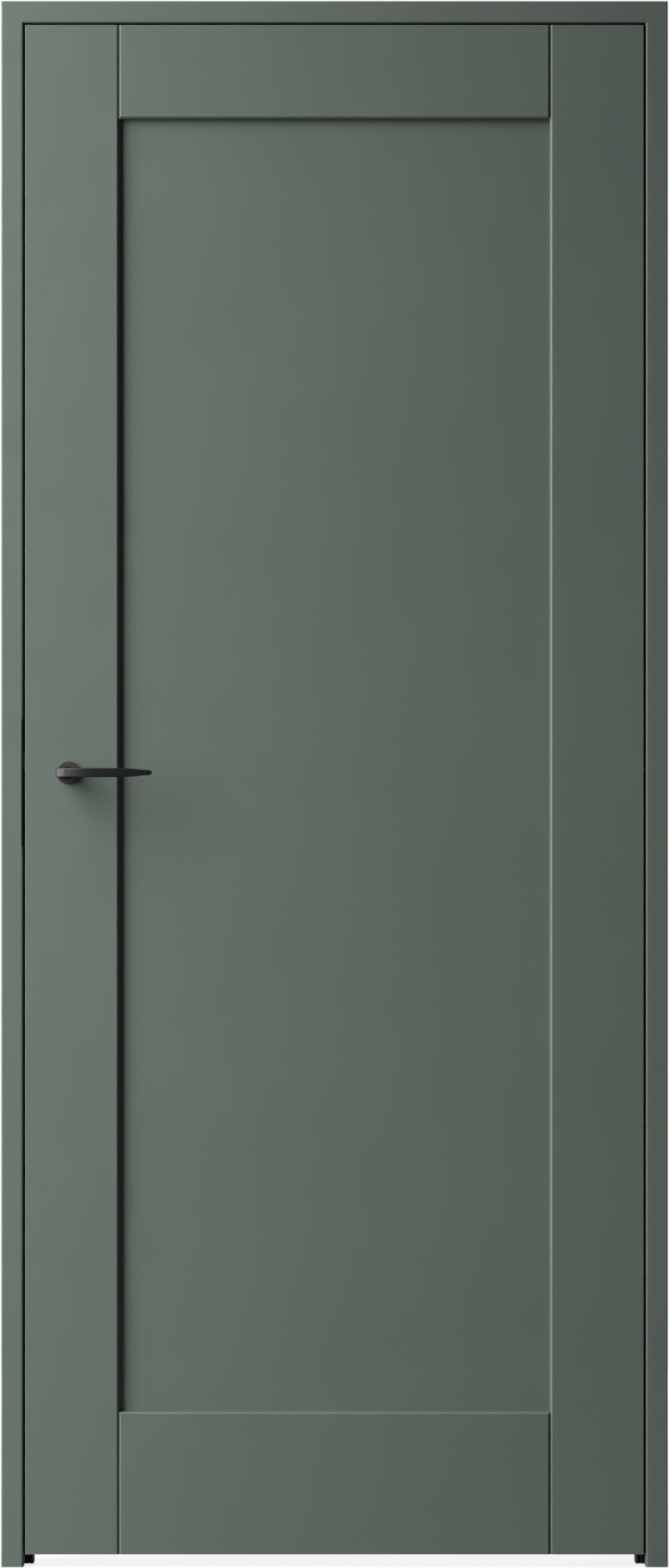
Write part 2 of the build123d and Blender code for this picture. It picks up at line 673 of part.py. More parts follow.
# Top rail
with BuildPart() as top_rail:
    with BuildSketch(Plane.XZ.offset(-back_y)):
        with Locations((0, lintel_z + top_rail_h / 2)):
            Rectangle(2 * rail_x, top_rail_h)
    extrude(amount=leaf_t)
    ends = top_rail.edges().filter_by(Axis.Z)
    lower = top_rail.edges().filter_by(Axis.X).group_by(Axis.Z)[0]
    chamfer(ends + lower, bevel)
    fillet(top_rail.edges().filter_by(Axis.X).group_by(Axis.Z)[-1], arris)
    with BuildSketch(Plane.XY.offset(lintel_z - over)):
        Rectangle(2 * (rail_x + over), panel_t + 2 * seat)
    extrude(amount=panel_tongue + panel_play + over, mode=Mode.SUBTRACT)
    with Locations(*[(-rail_x - over, 0, z) for z in top_dowel_zs]):
        Cylinder(
            dowel_r + seat,
            dowel_half + seat + over,
            rotation=(0, 90, 0),
            align=from_left,
            mode=Mode.SUBTRACT,
        )
    with Locations(*[(rail_x + over, 0, z) for z in top_dowel_zs]):
        Cylinder(
            dowel_r + seat,
            dowel_half + seat + over,
            rotation=(0, -90, 0),
            align=from_left,
            mode=Mode.SUBTRACT,
        )
top_rail.part.label = "top_rail"
export_step(top_rail.part, "parts/top_rail.step")

# Bottom rail
with BuildPart() as bottom_rail:
    with BuildSketch(Plane.XZ.offset(-back_y)):
        with Locations((0, leaf_z0 + bottom_rail_h / 2)):
            Rectangle(2 * rail_x, bottom_rail_h)
    extrude(amount=leaf_t)
    ends = bottom_rail.edges().filter_by(Axis.Z)
    upper = bottom_rail.edges().filter_by(Axis.X).group_by(Axis.Z)[-1]
    chamfer(ends + upper, bevel)
    fillet(bottom_rail.edges().filter_by(Axis.X).group_by(Axis.Z)[0], arris)
    with BuildSketch(Plane.XY.offset(sill_z - panel_tongue - panel_play)):
        Rectangle(2 * (rail_x + over), panel_t + 2 * seat)
    extrude(amount=panel_tongue + panel_play + over, mode=Mode.SUBTRACT)
    with Locations(*[(-rail_x - over, 0, z) for z in bottom_dowel_zs]):
        Cylinder(
            dowel_r + seat,
            dowel_half + seat + over,
            rotation=(0, 90, 0),
            align=from_left,
            mode=Mode.SUBTRACT,
        )
    with Locations(*[(rail_x + over, 0, z) for z in bottom_dowel_zs]):
        Cylinder(
            dowel_r + seat,
            dowel_half + seat + over,
            rotation=(0, -90, 0),
            align=from_left,
            mode=Mode.SUBTRACT,
        )
bottom_rail.part.label = "bottom_rail"
export_step(bottom_rail.part, "parts/bottom_rail.step")

# Flat panel, loose in the grooves
with BuildPart() as panel:
    with BuildSketch(Plane.XZ.offset(-panel_t / 2)):
        with Locations((0, (sill_z + lintel_z) / 2)):
            Rectangle(2 * (rail_x + panel_tongue), lintel_z - sill_z + 2 * panel_tongue)
    extrude(amount=panel_t)
panel.part.label = "panel"
export_step(panel.part, "parts/panel.step")

# Dowels of the rail joints
with BuildPart() as rail_dowels:
    with Locations(*[(side * rail_x, 0, z) for side in (-1, 1) for z in dowel_zs]):
        Cylinder(dowel_r, 2 * dowel_half, rotation=(0, 90, 0))
rail_dowels.part.label = "rail_dowels"
export_step(rail_dowels.part, "parts/rail_dowels.step")

# Latch: forend and its screws
with BuildPart() as forend:
    with BuildSketch(Plane.YZ.offset(-leaf_x)):
        with Locations((0, plate_z)):
            SlotOverall(forend_h, forend_w, rotation=90)
        with Locations((0, bolt_z)):
            Rectangle(bolt_w + 2 * clear, bolt_h + 2 * clear, mode=Mode.SUBTRACT)
    extrude(amount=forend_t)
    with Locations(*[(-leaf_x, 0, z) for z in forend_screw_zs]):
        Cone(sink_r, pilot_r, screw_head_h, rotation=(0, 90, 0), align=from_left, mode=Mode.SUBTRACT)
        Cylinder(pilot_r, screw_l, rotation=(0, 90, 0), align=from_left, mode=Mode.SUBTRACT)
forend.part.label = "forend"
export_step(forend.part, "parts/forend.step")

with BuildPart() as forend_screws:
    with Locations(*[(-leaf_x, 0, z) for z in forend_screw_zs]):
        Cone(screw_head_r, screw_r, screw_head_h, rotation=(0, 90, 0), align=from_left)
        Cylinder(screw_r, screw_l, rotation=(0, 90, 0), align=from_left)
        Box(2 * recess_d, recess_w, recess_l, mode=Mode.SUBTRACT)
        Box(2 * recess_d, recess_l, recess_w, mode=Mode.SUBTRACT)
forend_screws.part.label = "forend_screws"
export_step(forend_screws.part, "parts/forend_screws.step")

# Latch: case, cover and cover screws
front_post_x = bolt_x1 + bolt_stroke + case_post_r + clear
case_posts = [
    (front_post_x, case_z0 + case_post_in),
    (case_x1 - case_post_in, case_z0 + case_post_in),
    (front_post_x, case_z1 - case_post_in),
    (case_x1 - case_post_in, case_z1 - case_post_in),
]
case_mid = ((case_x0 + case_x1) / 2, plate_z)
latch_bend = (fork_end_x + seat + strip_t + latch_spring_r - strip_t / 2, handle_z - latch_spring_drop)
lever_bend = (lug_face_x - seat - strip_t - lever_spring_r + strip_t / 2, handle_z - lever_spring_drop)
lever_stop = (lever_bend[0] - lever_spring_r - strip_t / 2 - case_post_r, lever_bend[1] + lever_spring_r)
latch_post_r = latch_spring_r - strip_t / 2 - seat
lever_post_r = lever_spring_r - strip_t / 2 - seat

with BuildPart() as lock_case:
    with BuildSketch(Plane.XZ.offset(case_t / 2)):
        with Locations(case_mid):
            Rectangle(case_d, case_h)
    extrude(amount=-(case_t - case_wall))
    with BuildSketch(Plane.XZ.offset(case_in)):
        with Locations(case_mid):
            Rectangle(case_d - 2 * case_wall, case_h - 2 * case_wall)
    extrude(amount=-case_t, mode=Mode.SUBTRACT)
    with BuildSketch(Plane.XZ.offset(case_in)):
        with Locations(*case_posts):
            Circle(case_post_r)
        with Locations(latch_bend):
            Circle(latch_post_r)
        with Locations(lever_bend):
            Circle(lever_post_r)
        with Locations(lever_stop):
            Circle(case_post_r)
    extrude(amount=-2 * case_in)
    with BuildSketch(Plane.XZ.offset(-case_in)):
        with Locations(*case_posts):
            Circle(case_screw_r + seat)
    extrude(amount=case_screw_l, mode=Mode.SUBTRACT)
    with Locations((handle_x, 0, handle_z)):
        Cylinder(hub_journal_r + run_fit, case_t + over, rotation=(90, 0, 0), mode=Mode.SUBTRACT)
    with BuildSketch(Plane.YZ.offset(case_x0 - over)):
        with Locations((0, bolt_z)):
            Rectangle(bolt_w + 2 * clear, bolt_h + 2 * clear)
    extrude(amount=case_wall + 2 * over, mode=Mode.SUBTRACT)
lock_case.part.label = "lock_case"
export_step(lock_case.part, "parts/lock_case.step")

with BuildPart() as case_cover:
    with BuildSketch(Plane.XZ.offset(-case_in)):
        with Locations(case_mid):
            Rectangle(case_d, case_h)
        with Locations((handle_x, handle_z)):
            Circle(hub_journal_r + run_fit, mode=Mode.SUBTRACT)
    extrude(amount=-case_wall)
    with Locations(*[(x, case_t / 2, z) for x, z in case_posts]):
        Cone(
            case_screw_head_r + seat,
            case_screw_r + seat,
            case_wall,
            rotation=(90, 0, 0),
            align=from_left,
            mode=Mode.SUBTRACT,
        )
case_cover.part.label = "case_cover"
export_step(case_cover.part, "parts/case_cover.step")

with BuildPart() as case_screws:
    with Locations(*[(x, case_t / 2, z) for x, z in case_posts]):
        Cone(case_screw_head_r, case_screw_r, case_wall, rotation=(90, 0, 0), align=from_left)
        Cylinder(case_screw_r, case_screw_l, rotation=(90, 0, 0), align=from_left)
case_screws.part.label = "case_screws"
export_step(case_screws.part, "parts/case_screws.step")

# Latch: follower, turned by the spindle
with BuildPart() as follower:
    with Locations((handle_x, 0, handle_z)):
        Cylinder(hub_r, 2 * (case_in - clear), rotation=(90, 0, 0))
        Cylinder(hub_journal_r, case_t, rotation=(90, 0, 0))
    with BuildSketch(Plane.XZ.offset(hub_arm_t / 2)):
        with Locations((handle_x, handle_z + nose_up / 2)):
            Rectangle(hub_arm_w, nose_up)
        with Locations((handle_x, handle_z + nose_up)):
            Circle(nose_r)
        with Locations((handle_x, handle_z - hub_lug_down / 2)):
            Rectangle(2 * hub_lug_r, hub_lug_down)
        with Locations((handle_x, handle_z - hub_lug_down)):
            Circle(hub_lug_r)
    extrude(amount=-hub_arm_t)
    with BuildSketch(Plane.XZ.offset(-case_t)):
        with Locations((handle_x, handle_z)):
            Rectangle(spindle_w + 2 * seat, spindle_w + 2 * seat)
    extrude(amount=2 * case_t, mode=Mode.SUBTRACT)
follower.part.label = "follower"
export_step(follower.part, "parts/follower.step")

# Latch: bolt with its fork round the follower's nose
with BuildPart() as latch_bolt:
    with BuildSketch(Plane.XY.offset(bolt_z - bolt_h / 2)):
        with BuildLine():
            Polyline(
                (bolt_x1, -bolt_w / 2),
                (bolt_x0, -bolt_w / 2),
                (bolt_x0, -bolt_w / 2 + bolt_tip_w),
                (-leaf_x - clear, bolt_w / 2),
                (bolt_x1, bolt_w / 2),
                close=True,
            )
        make_face()
    extrude(amount=bolt_h)
    with BuildSketch(Plane.YZ.offset(bolt_x1)):
        with Locations((0, bolt_z)):
            Rectangle(shank_w, shank_h)
    extrude(amount=fork_lead_x - bolt_x1)
    with BuildSketch(Plane.YZ.offset(fork_lead_x - fork_front_l)):
        with Locations((0, fork_z)):
            Rectangle(hub_arm_t + 2 * (clear + fork_wall), fork_h)
    extrude(amount=fork_end_x - fork_lead_x + fork_front_l)
    with BuildSketch(Plane.YZ.offset(fork_face_x)):
        with Locations((0, fork_z - fork_h / 2 + fork_back_h / 2)):
            Rectangle(hub_arm_t + 2 * (clear + fork_wall), fork_back_h)
    extrude(amount=fork_rear_l)
    with BuildSketch(Plane.XY.offset(fork_z - fork_h)):
        with Locations(((fork_lead_x + fork_face_x) / 2, 0)):
            Rectangle(fork_face_x - fork_lead_x, hub_arm_t + 2 * clear)
    extrude(amount=2 * fork_h, mode=Mode.SUBTRACT)
latch_bolt.part.label = "latch_bolt"
export_step(latch_bolt.part, "parts/latch_bolt.step")

# Latch: hairpin springs of the bolt and of the follower
with BuildPart() as latch_spring:
    with BuildSketch(Plane.XZ.offset(strip_w / 2)):
        with BuildLine():
            Line(
                (latch_bend[0] - latch_spring_r, fork_z + fork_h / 2),
                (latch_bend[0] - latch_spring_r, latch_bend[1]),
            )
            CenterArc(latch_bend, latch_spring_r, 180, 180)
            Line(
                (latch_bend[0] + latch_spring_r, latch_bend[1]),
                (latch_bend[0] + latch_spring_r, handle_z),
            )
        trace(line_width=strip_t)
    extrude(amount=-strip_w)
latch_spring.part.label = "latch_spring"
export_step(latch_spring.part, "parts/latch_spring.step")

with BuildPart() as lever_spring:
    with BuildSketch(Plane.XZ.offset(strip_w / 2)):
        with BuildLine():
            Line(
                (lever_bend[0] - lever_spring_r, lever_stop[1] + case_post_r),
                (lever_bend[0] - lever_spring_r, lever_bend[1]),
            )
            CenterArc(lever_bend, lever_spring_r, 180, 180)
            Line(
                (lever_bend[0] + lever_spring_r, lever_bend[1]),
                (lever_bend[0] + lever_spring_r, handle_z - hub_lug_down + hub_lug_r),
            )
        trace(line_width=strip_t)
    extrude(amount=-strip_w)
lever_spring.part.label = "lever_spring"
export_step(lever_spring.part, "parts/lever_spring.step")

# Spindle through the follower into both levers
with BuildPart() as spindle:
    with BuildSketch(Plane.XZ.offset(back_y + spindle_in)):
        with Locations((handle_x, handle_z)):
            Rectangle(spindle_w, spindle_w)
    extrude(amount=-(leaf_t + 2 * spindle_in))
spindle.part.label = "spindle"
export_step(spindle.part, "parts/spindle.step")

# Levers, roses and rose bases on both faces
lever_l = lever_heel + lever_reach
taper_pts = [(-lever_heel + along * lever_l, tall * lever_h / 2) for along, tall in taper_shares]
taper_end = (-lever_heel + taper_end_share * lever_l, lever_tip_h / 2)
lever_base = rose_h + lever_lift
sweep = radians(lever_sweep_deg)
tip_front = lever_stand - lever_tip_drop
lever_sides = []
for start_x, bend_r, crown_out, tip_out in (
    (-lever_heel, lever_bend_r, lever_stand, tip_front),
    (lever_neck, lever_inner_r, lever_stand - lever_crown_t, tip_front - lever_tip_t),
):
    swept_x = start_x + bend_r * (1 - sin(sweep))
    sweep_r = (lever_crown - swept_x) / sin(sweep)
    swept_out = crown_out - sweep_r * (1 - cos(sweep))
    bend_out = swept_out - bend_r * cos(sweep)
    lever_sides.append(
        (
            (start_x, lever_base),
            (start_x, bend_out),
            (swept_x, swept_out),
            (lever_crown, crown_out),
            (lever_reach, tip_out),
        )
    )

for face, side in (("front", -1), ("back", 1)):
    face_y = side * leaf_t / 2
    outer, inner = [
        [(handle_x + along, face_y + side * out) for along, out in lever_side] for lever_side in lever_sides
    ]
    with BuildPart() as lever:
        with BuildSketch(Plane.XY.offset(handle_z - lever_h / 2)):
            with BuildLine():
                for base, bend, swept, crown, tip in (outer, inner):
                    Line(base, bend)
                    TangentArc(bend, swept, tangent=(0, side))
                    TangentArc(crown, swept, tangent=(-1, 0))
                    TangentArc(crown, tip, tangent=(1, 0))
                Line(outer[0], inner[0])
                Line(outer[-1], inner[-1])
            make_face()
        extrude(amount=lever_h)
        with BuildSketch(Plane.XZ.offset(-face_y)):
            with BuildLine():
                Line(
                    (handle_x - lever_heel - over, handle_z + lever_h / 2),
                    (handle_x + taper_pts[0][0], handle_z + lever_h / 2),
                )
                Spline(
                    *[(handle_x + x, handle_z + z) for x, z in taper_pts],
                    (handle_x + taper_end[0], handle_z + taper_end[1]),
                    tangents=((1, 0), (1, -1)),
                    tangent_scalars=(1, 1),
                )
                ThreePointArc(
                    (handle_x + taper_end[0], handle_z + taper_end[1]),
                    (handle_x + lever_reach, handle_z),
                    (handle_x + taper_end[0], handle_z - taper_end[1]),
                )
                Spline(
                    (handle_x + taper_end[0], handle_z - taper_end[1]),
                    *[(handle_x + x, handle_z - z) for x, z in taper_pts[::-1]],
                    tangents=((-1, -1), (-1, 0)),
                    tangent_scalars=(1, 1),
                )
                Polyline(
                    (handle_x + taper_pts[0][0], handle_z - lever_h / 2),
                    (handle_x - lever_heel - over, handle_z - lever_h / 2),
                    (handle_x - lever_heel - over, handle_z + lever_h / 2),
                )
            make_face()
        extrude(amount=-side * (lever_stand + over), mode=Mode.INTERSECT)
        lever_rim = lever.edges().filter_by(lambda e: abs(e.center().Y - face_y) > lever_base + seat)
        fillet(lever_rim, lever_edge_r)
        with Locations((handle_x, face_y + side * clear, handle_z)):
            Cylinder(
                spigot_r,
                lever_base + lever_lift - clear,
                rotation=(-side * 90, 0, 0),
                align=from_left,
            )
        with BuildSketch(Plane.XZ.offset(-face_y)):
            with Locations((handle_x, handle_z)):
                Rectangle(spindle_w + 2 * seat, spindle_w + 2 * seat)
        extrude(amount=-side * (spindle_in + seat), mode=Mode.SUBTRACT)
        with Locations((handle_x, face_y + side * grub_up, handle_z)):
            Cylinder(
                grub_r + seat,
                lever_neck + over,
                rotation=(0, 90, 0),
                align=from_left,
                mode=Mode.SUBTRACT,
            )
    lever.part.label = face + "_lever"
    export_step(lever.part, "parts/" + face + "_lever.step")

    with BuildPart() as rose:
        with Locations((handle_x, face_y, handle_z)):
            Cylinder(rose_r, rose_h, rotation=(-side * 90, 0, 0), align=from_left)
        rim = rose.edges().filter_by(GeomType.CIRCLE).sort_by(Axis.Y)[-1 if side > 0 else 0]
        fillet(rim, rose_edge_r)
        with Locations((handle_x, face_y, handle_z)):
            Cylinder(
                rose_r - rose_wall,
                rose_base_h + seat,
                rotation=(-side * 90, 0, 0),
                align=from_left,
                mode=Mode.SUBTRACT,
            )
            Cylinder(
                spigot_r + clear,
                rose_h + over,
                rotation=(-side * 90, 0, 0),
                align=from_left,
                mode=Mode.SUBTRACT,
            )
    rose.part.label = face + "_rose"
    export_step(rose.part, "parts/" + face + "_rose.step")

    with BuildPart() as rose_base:
        with Locations((handle_x, face_y, handle_z)):
            Cylinder(rose_r - rose_wall - seat, rose_base_h, rotation=(-side * 90, 0, 0), align=from_left)
            Cylinder(
                spigot_r + run_fit,
                rose_h + over,
                rotation=(-side * 90, 0, 0),
                align=from_left,
                mode=Mode.SUBTRACT,
            )
        with Locations(
            (handle_x - rose_screw_out, face_y + side * rose_base_h, handle_z),
            (handle_x + rose_screw_out, face_y + side * rose_base_h, handle_z),
        ):
            Cone(
                rose_screw_head_r + seat,
                rose_screw_r + seat,
                rose_screw_head_r,
                rotation=(side * 90, 0, 0),
                align=from_left,
                mode=Mode.SUBTRACT,
            )
            Cylinder(
                rose_screw_r + seat,
                rose_base_h + over,
                rotation=(side * 90, 0, 0),
                align=from_left,
                mode=Mode.SUBTRACT,
            )
    rose_base.part.label = face + "_rose_base"
    export_step(rose_base.part, "parts/" + face + "_rose_base.step")

# Screws of the rose bases and grub screws of the levers
with BuildPart() as rose_screws:
    for side in (-1, 1):
        with Locations(
            (handle_x - rose_screw_out, side * (leaf_t / 2 + rose_base_h), handle_z),
            (handle_x + rose_screw_out, side * (leaf_t / 2 + rose_base_h), handle_z),
        ):
            Cone(
                rose_screw_head_r,
                rose_screw_r,
                rose_screw_head_r,
                rotation=(side * 90, 0, 0),
                align=from_left,
            )
            Cylinder(
                rose_screw_r,
                rose_base_h + rose_screw_l - clear,
                rotation=(side * 90, 0, 0),
                align=from_left,
            )
rose_screws.part.label = "rose_screws"
export_step(rose_screws.part, "parts/rose_screws.step")

with BuildPart() as grub_screws:
    with Locations(
        (handle_x + spindle_w / 2 + seat, front_y - grub_up, handle_z),
        (handle_x + spindle_w / 2 + seat, back_y + grub_up, handle_z),
    ):
        Cylinder(grub_r, grub_l, rotation=(0, 90, 0), align=from_left)
grub_screws.part.label = "grub_screws"
export_step(grub_screws.part, "parts/grub_screws.step")

# Concealed hinges: two crossed arms on one centre pin. Each arm turns on a pin in one housing,
# and its far end runs on studs in curved tracks of the other housing.
pocket_levels = ((-wall_level, -outer_level), (-mid_level, mid_level), (outer_level, wall_level))
frame_depths = (slide_depth, pivot_depth, slide_depth)
leaf_depths = (pivot_depth, slide_depth, pivot_depth)
outer_plates = (-plate_level - outer_plate_h, plate_level)

for place, hinge_z in zip(("bottom", "middle", "top"), hinge_zs):
    with BuildPart() as frame_housing:
        with BuildSketch(Plane.YZ.offset(rebate_x)):
            with Locations((pocket_y, hinge_z)):
                SlotOverall(flange_l, house_w, rotation=90)
        extrude(amount=flange_t)
        with BuildSketch(Plane.YZ.offset(rebate_x)):
            with Locations((pocket_y, hinge_z)):
                RectangleRounded(house_w, house_h, house_corner_r)
        extrude(amount=house_d)
        for (low, high), depth in zip(pocket_levels, frame_depths):
            with BuildSketch(Plane.XY.offset(hinge_z + low)):
                with Locations((rebate_x + (depth - over) / 2, pocket_y)):
                    Rectangle(depth + over, pocket_w)
            extrude(amount=high - low, mode=Mode.SUBTRACT)
        with BuildSketch(Plane.XY.offset(hinge_z - wall_level)):
            with Locations(centre_pt):
                Circle(pin_r + 2 * clear)
        extrude(amount=2 * wall_level, mode=Mode.SUBTRACT)
        with BuildSketch(Plane.XY.offset(hinge_z - outer_level)):
            with Locations(frame_pivot):
                Circle(pin_r + run_fit)
        extrude(amount=2 * outer_level, mode=Mode.SUBTRACT)
        with BuildSketch(Plane.XY.offset(hinge_z - wall_level - end_track_d)):
            SlotArc(frame_track, 2 * track_r)
        extrude(amount=end_track_d, mode=Mode.SUBTRACT)
        with BuildSketch(Plane.XY.offset(hinge_z + wall_level)):
            SlotArc(frame_track, 2 * track_r)
        extrude(amount=end_track_d, mode=Mode.SUBTRACT)
        screw_zs = [hinge_z + end * up for up in hinge_screw_ups for end in (-1, 1)]
        with Locations(*[(rebate_x, pocket_y, z) for z in screw_zs]):
            Cone(
                sink_r,
                pilot_r,
                screw_head_h,
                rotation=(0, 90, 0),
                align=from_left,
                mode=Mode.SUBTRACT,
            )
            Cylinder(pilot_r, screw_l, rotation=(0, 90, 0), align=from_left, mode=Mode.SUBTRACT)
    frame_housing.part.label = place + "_frame_housing"
    export_step(frame_housing.part, "parts/" + place + "_frame_housing.step")

    with BuildPart() as leaf_housing:
        with BuildSketch(Plane.YZ.offset(leaf_x)):
            with Locations((pocket_y, hinge_z)):
                SlotOverall(flange_l, house_w, rotation=90)
        extrude(amount=-flange_t)
        with BuildSketch(Plane.YZ.offset(leaf_x)):
            with Locations((pocket_y, hinge_z)):
                RectangleRounded(house_w, house_h, house_corner_r)
        extrude(amount=-house_d)
        for (low, high), depth in zip(pocket_levels, leaf_depths):
            with BuildSketch(Plane.XY.offset(hinge_z + low)):
                with Locations((leaf_x - (depth - over) / 2, pocket_y)):
                    Rectangle(depth + over, pocket_w)
            extrude(amount=high - low, mode=Mode.SUBTRACT)
        with BuildSketch(Plane.XY.offset(hinge_z - wall_level)):
            with Locations(centre_pt):
                Circle(pin_r + 2 * clear)
        extrude(amount=2 * wall_level, mode=Mode.SUBTRACT)
        with BuildSketch(Plane.XY.offset(hinge_z - wall_level - pin_end_d)):
            with Locations(leaf_pivot):
                Circle(pin_r + run_fit)
        extrude(amount=wall_level - outer_level + 2 * pin_end_d, mode=Mode.SUBTRACT)
        with BuildSketch(Plane.XY.offset(hinge_z + outer_level - pin_end_d)):
            with Locations(leaf_pivot):
                Circle(pin_r + run_fit)
        extrude(amount=wall_level - outer_level + 2 * pin_end_d, mode=Mode.SUBTRACT)
        with BuildSketch(Plane.XY.offset(hinge_z - mid_level - track_d)):
            SlotArc(leaf_track, 2 * track_r)
        extrude(amount=2 * (mid_level + track_d), mode=Mode.SUBTRACT)
        screw_zs = [hinge_z + end * up for up in hinge_screw_ups for end in (-1, 1)]
        with Locations(*[(leaf_x, pocket_y, z) for z in screw_zs]):
            Cone(
                sink_r,
                pilot_r,
                screw_head_h,
                rotation=(0, -90, 0),
                align=from_left,
                mode=Mode.SUBTRACT,
            )
            Cylinder(pilot_r, screw_l, rotation=(0, -90, 0), align=from_left, mode=Mode.SUBTRACT)
    leaf_housing.part.label = place + "_leaf_housing"
    export_step(leaf_housing.part, "parts/" + place + "_leaf_housing.step")

    with BuildPart() as frame_arm:
        with BuildSketch(Plane.XY.offset(hinge_z - mid_plate_h / 2)):
            with Locations(frame_pivot):
                Circle(pivot_boss_r)
            with Locations(centre_pt):
                Circle(centre_boss_r)
            with Locations(leaf_slide):
                Circle(slide_boss_r)
            SlotArc(Edge.make_line(frame_pivot, centre_pt), pivot_bar_w)
            SlotArc(Edge.make_line(centre_pt, leaf_slide), slide_bar_w)
            with Locations(leaf_relief):
                Circle(relief_r, mode=Mode.SUBTRACT)
            with Locations(frame_pivot, centre_pt):
                Circle(pin_r + run_fit, mode=Mode.SUBTRACT)
        extrude(amount=mid_plate_h)
        with Locations((leaf_slide[0], leaf_slide[1], hinge_z)):
            Cylinder(stud_r, 2 * (mid_level + track_d - clear))
    frame_arm.part.label = place + "_frame_arm"
    export_step(frame_arm.part, "parts/" + place + "_frame_arm.step")

    with BuildPart() as leaf_arm:
        for low in outer_plates:
            with BuildSketch(Plane.XY.offset(hinge_z + low)):
                with Locations(leaf_pivot):
                    Circle(pivot_boss_r)
                with Locations(centre_pt):
                    Circle(centre_boss_r)
                with Locations(frame_slide):
                    Circle(slide_boss_r)
                SlotArc(Edge.make_line(leaf_pivot, centre_pt), pivot_bar_w)
                SlotArc(Edge.make_line(centre_pt, frame_slide), slide_bar_w)
                with Locations(frame_relief):
                    Circle(relief_r, mode=Mode.SUBTRACT)
                with Locations(leaf_pivot):
                    Circle(pin_r + run_fit, mode=Mode.SUBTRACT)
            extrude(amount=outer_plate_h)
        with Locations((centre_pt[0], centre_pt[1], hinge_z)):
            Cylinder(pin_r, 2 * (plate_level + outer_plate_h))
        for end in (-1, 1):
            with Locations((frame_slide[0], frame_slide[1], hinge_z + end * (wall_level + clear))):
                Cylinder(stud_r, 2 * (end_track_d - 2 * clear))
    leaf_arm.part.label = place + "_leaf_arm"
    export_step(leaf_arm.part, "parts/" + place + "_leaf_arm.step")

    with BuildPart() as frame_pin:
        with Locations((frame_pivot[0], frame_pivot[1], hinge_z)):
            Cylinder(pin_r, 2 * (outer_level - seat))
    frame_pin.part.label = place + "_frame_pin"
    export_step(frame_pin.part, "parts/" + place + "_frame_pin.step")

    with BuildPart() as leaf_pins:
        for end in (-1, 1):
            with Locations((leaf_pivot[0], leaf_pivot[1], hinge_z + end * (outer_level + wall_level) / 2)):
                Cylinder(pin_r, wall_level - outer_level + 2 * (pin_end_d - seat))
    leaf_pins.part.label = place + "_leaf_pins"
    export_step(leaf_pins.part, "parts/" + place + "_leaf_pins.step")

# Screws of the hinge housings
with BuildPart() as hinge_frame_screws:
    with Locations(*[(rebate_x, pocket_y, z) for z in hinge_screw_zs]):
        Cone(screw_head_r, screw_r, screw_head_h, rotation=(0, 90, 0), align=from_left)
        Cylinder(screw_r, screw_l, rotation=(0, 90, 0), align=from_left)
        Box(2 * recess_d, recess_w, recess_l, mode=Mode.SUBTRACT)
        Box(2 * recess_d, recess_l, recess_w, mode=Mode.SUBTRACT)
hinge_frame_screws.part.label = "hinge_frame_screws"
export_step(hinge_frame_screws.part, "parts/hinge_frame_screws.step")

with BuildPart() as hinge_leaf_screws:
    with Locations(*[(leaf_x, pocket_y, z) for z in hinge_screw_zs]):
        Cone(screw_head_r, screw_r, screw_head_h, rotation=(0, -90, 0), align=from_left)
        Cylinder(screw_r, screw_l, rotation=(0, -90, 0), align=from_left)
        Box(2 * recess_d, recess_w, recess_l, mode=Mode.SUBTRACT)
        Box(2 * recess_d, recess_l, recess_w, mode=Mode.SUBTRACT)
hinge_leaf_screws.part.label = "hinge_leaf_screws"
export_step(hinge_leaf_screws.part, "parts/hinge_leaf_screws.step")
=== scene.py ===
# %% [markdown]
# An interior door in its frame, finished in Blender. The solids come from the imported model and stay
# where they are. This lesson places the camera, gives every solid its finish, models the small
# fittings that only a close look shows, and sets up a plain studio. Lengths are metres, Z is up,
# and the leaf is pulled open towards -Y.

# %% Load the frame
import json
import bpy
from math import radians
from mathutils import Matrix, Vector

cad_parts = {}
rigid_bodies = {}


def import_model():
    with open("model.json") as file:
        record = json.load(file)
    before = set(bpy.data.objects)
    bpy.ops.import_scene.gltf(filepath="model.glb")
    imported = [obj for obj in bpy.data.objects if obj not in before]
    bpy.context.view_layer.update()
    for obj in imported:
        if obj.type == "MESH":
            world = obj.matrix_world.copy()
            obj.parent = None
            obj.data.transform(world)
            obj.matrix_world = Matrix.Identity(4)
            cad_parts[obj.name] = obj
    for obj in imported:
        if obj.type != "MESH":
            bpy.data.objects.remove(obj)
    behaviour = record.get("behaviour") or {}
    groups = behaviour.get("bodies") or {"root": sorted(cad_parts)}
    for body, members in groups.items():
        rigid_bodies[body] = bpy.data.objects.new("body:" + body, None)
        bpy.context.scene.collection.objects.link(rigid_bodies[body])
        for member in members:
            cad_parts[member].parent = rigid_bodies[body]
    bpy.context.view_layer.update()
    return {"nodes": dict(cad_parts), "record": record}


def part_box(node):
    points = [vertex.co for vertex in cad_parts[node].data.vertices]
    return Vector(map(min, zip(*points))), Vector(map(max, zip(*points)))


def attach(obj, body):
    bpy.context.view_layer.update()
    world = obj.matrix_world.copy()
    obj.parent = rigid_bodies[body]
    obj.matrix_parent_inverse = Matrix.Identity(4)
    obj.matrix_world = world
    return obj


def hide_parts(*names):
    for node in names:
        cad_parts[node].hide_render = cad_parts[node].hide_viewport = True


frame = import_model()
nodes = frame["nodes"]
bpy.ops.object.select_all(action="DESELECT")

# %% [markdown]
# The photograph looks straight at the closed leaf from far away, so its upright lines stay parallel.
# A long lens at a matching distance gives the same slight perspective: it shows a little of the
# rebate below the leaf and nothing of the frame's outer sides. The lens follows from the distance
# and from the height that the picture covers at the plane of the frame's front.

# %% Camera
SENSOR = 36.0
VIEW_DISTANCE = 8.64
VIEW_HEIGHT = 2.0914
VIEW_CENTRE_Z = 1.0446
front_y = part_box("lock_jamb")[0].y

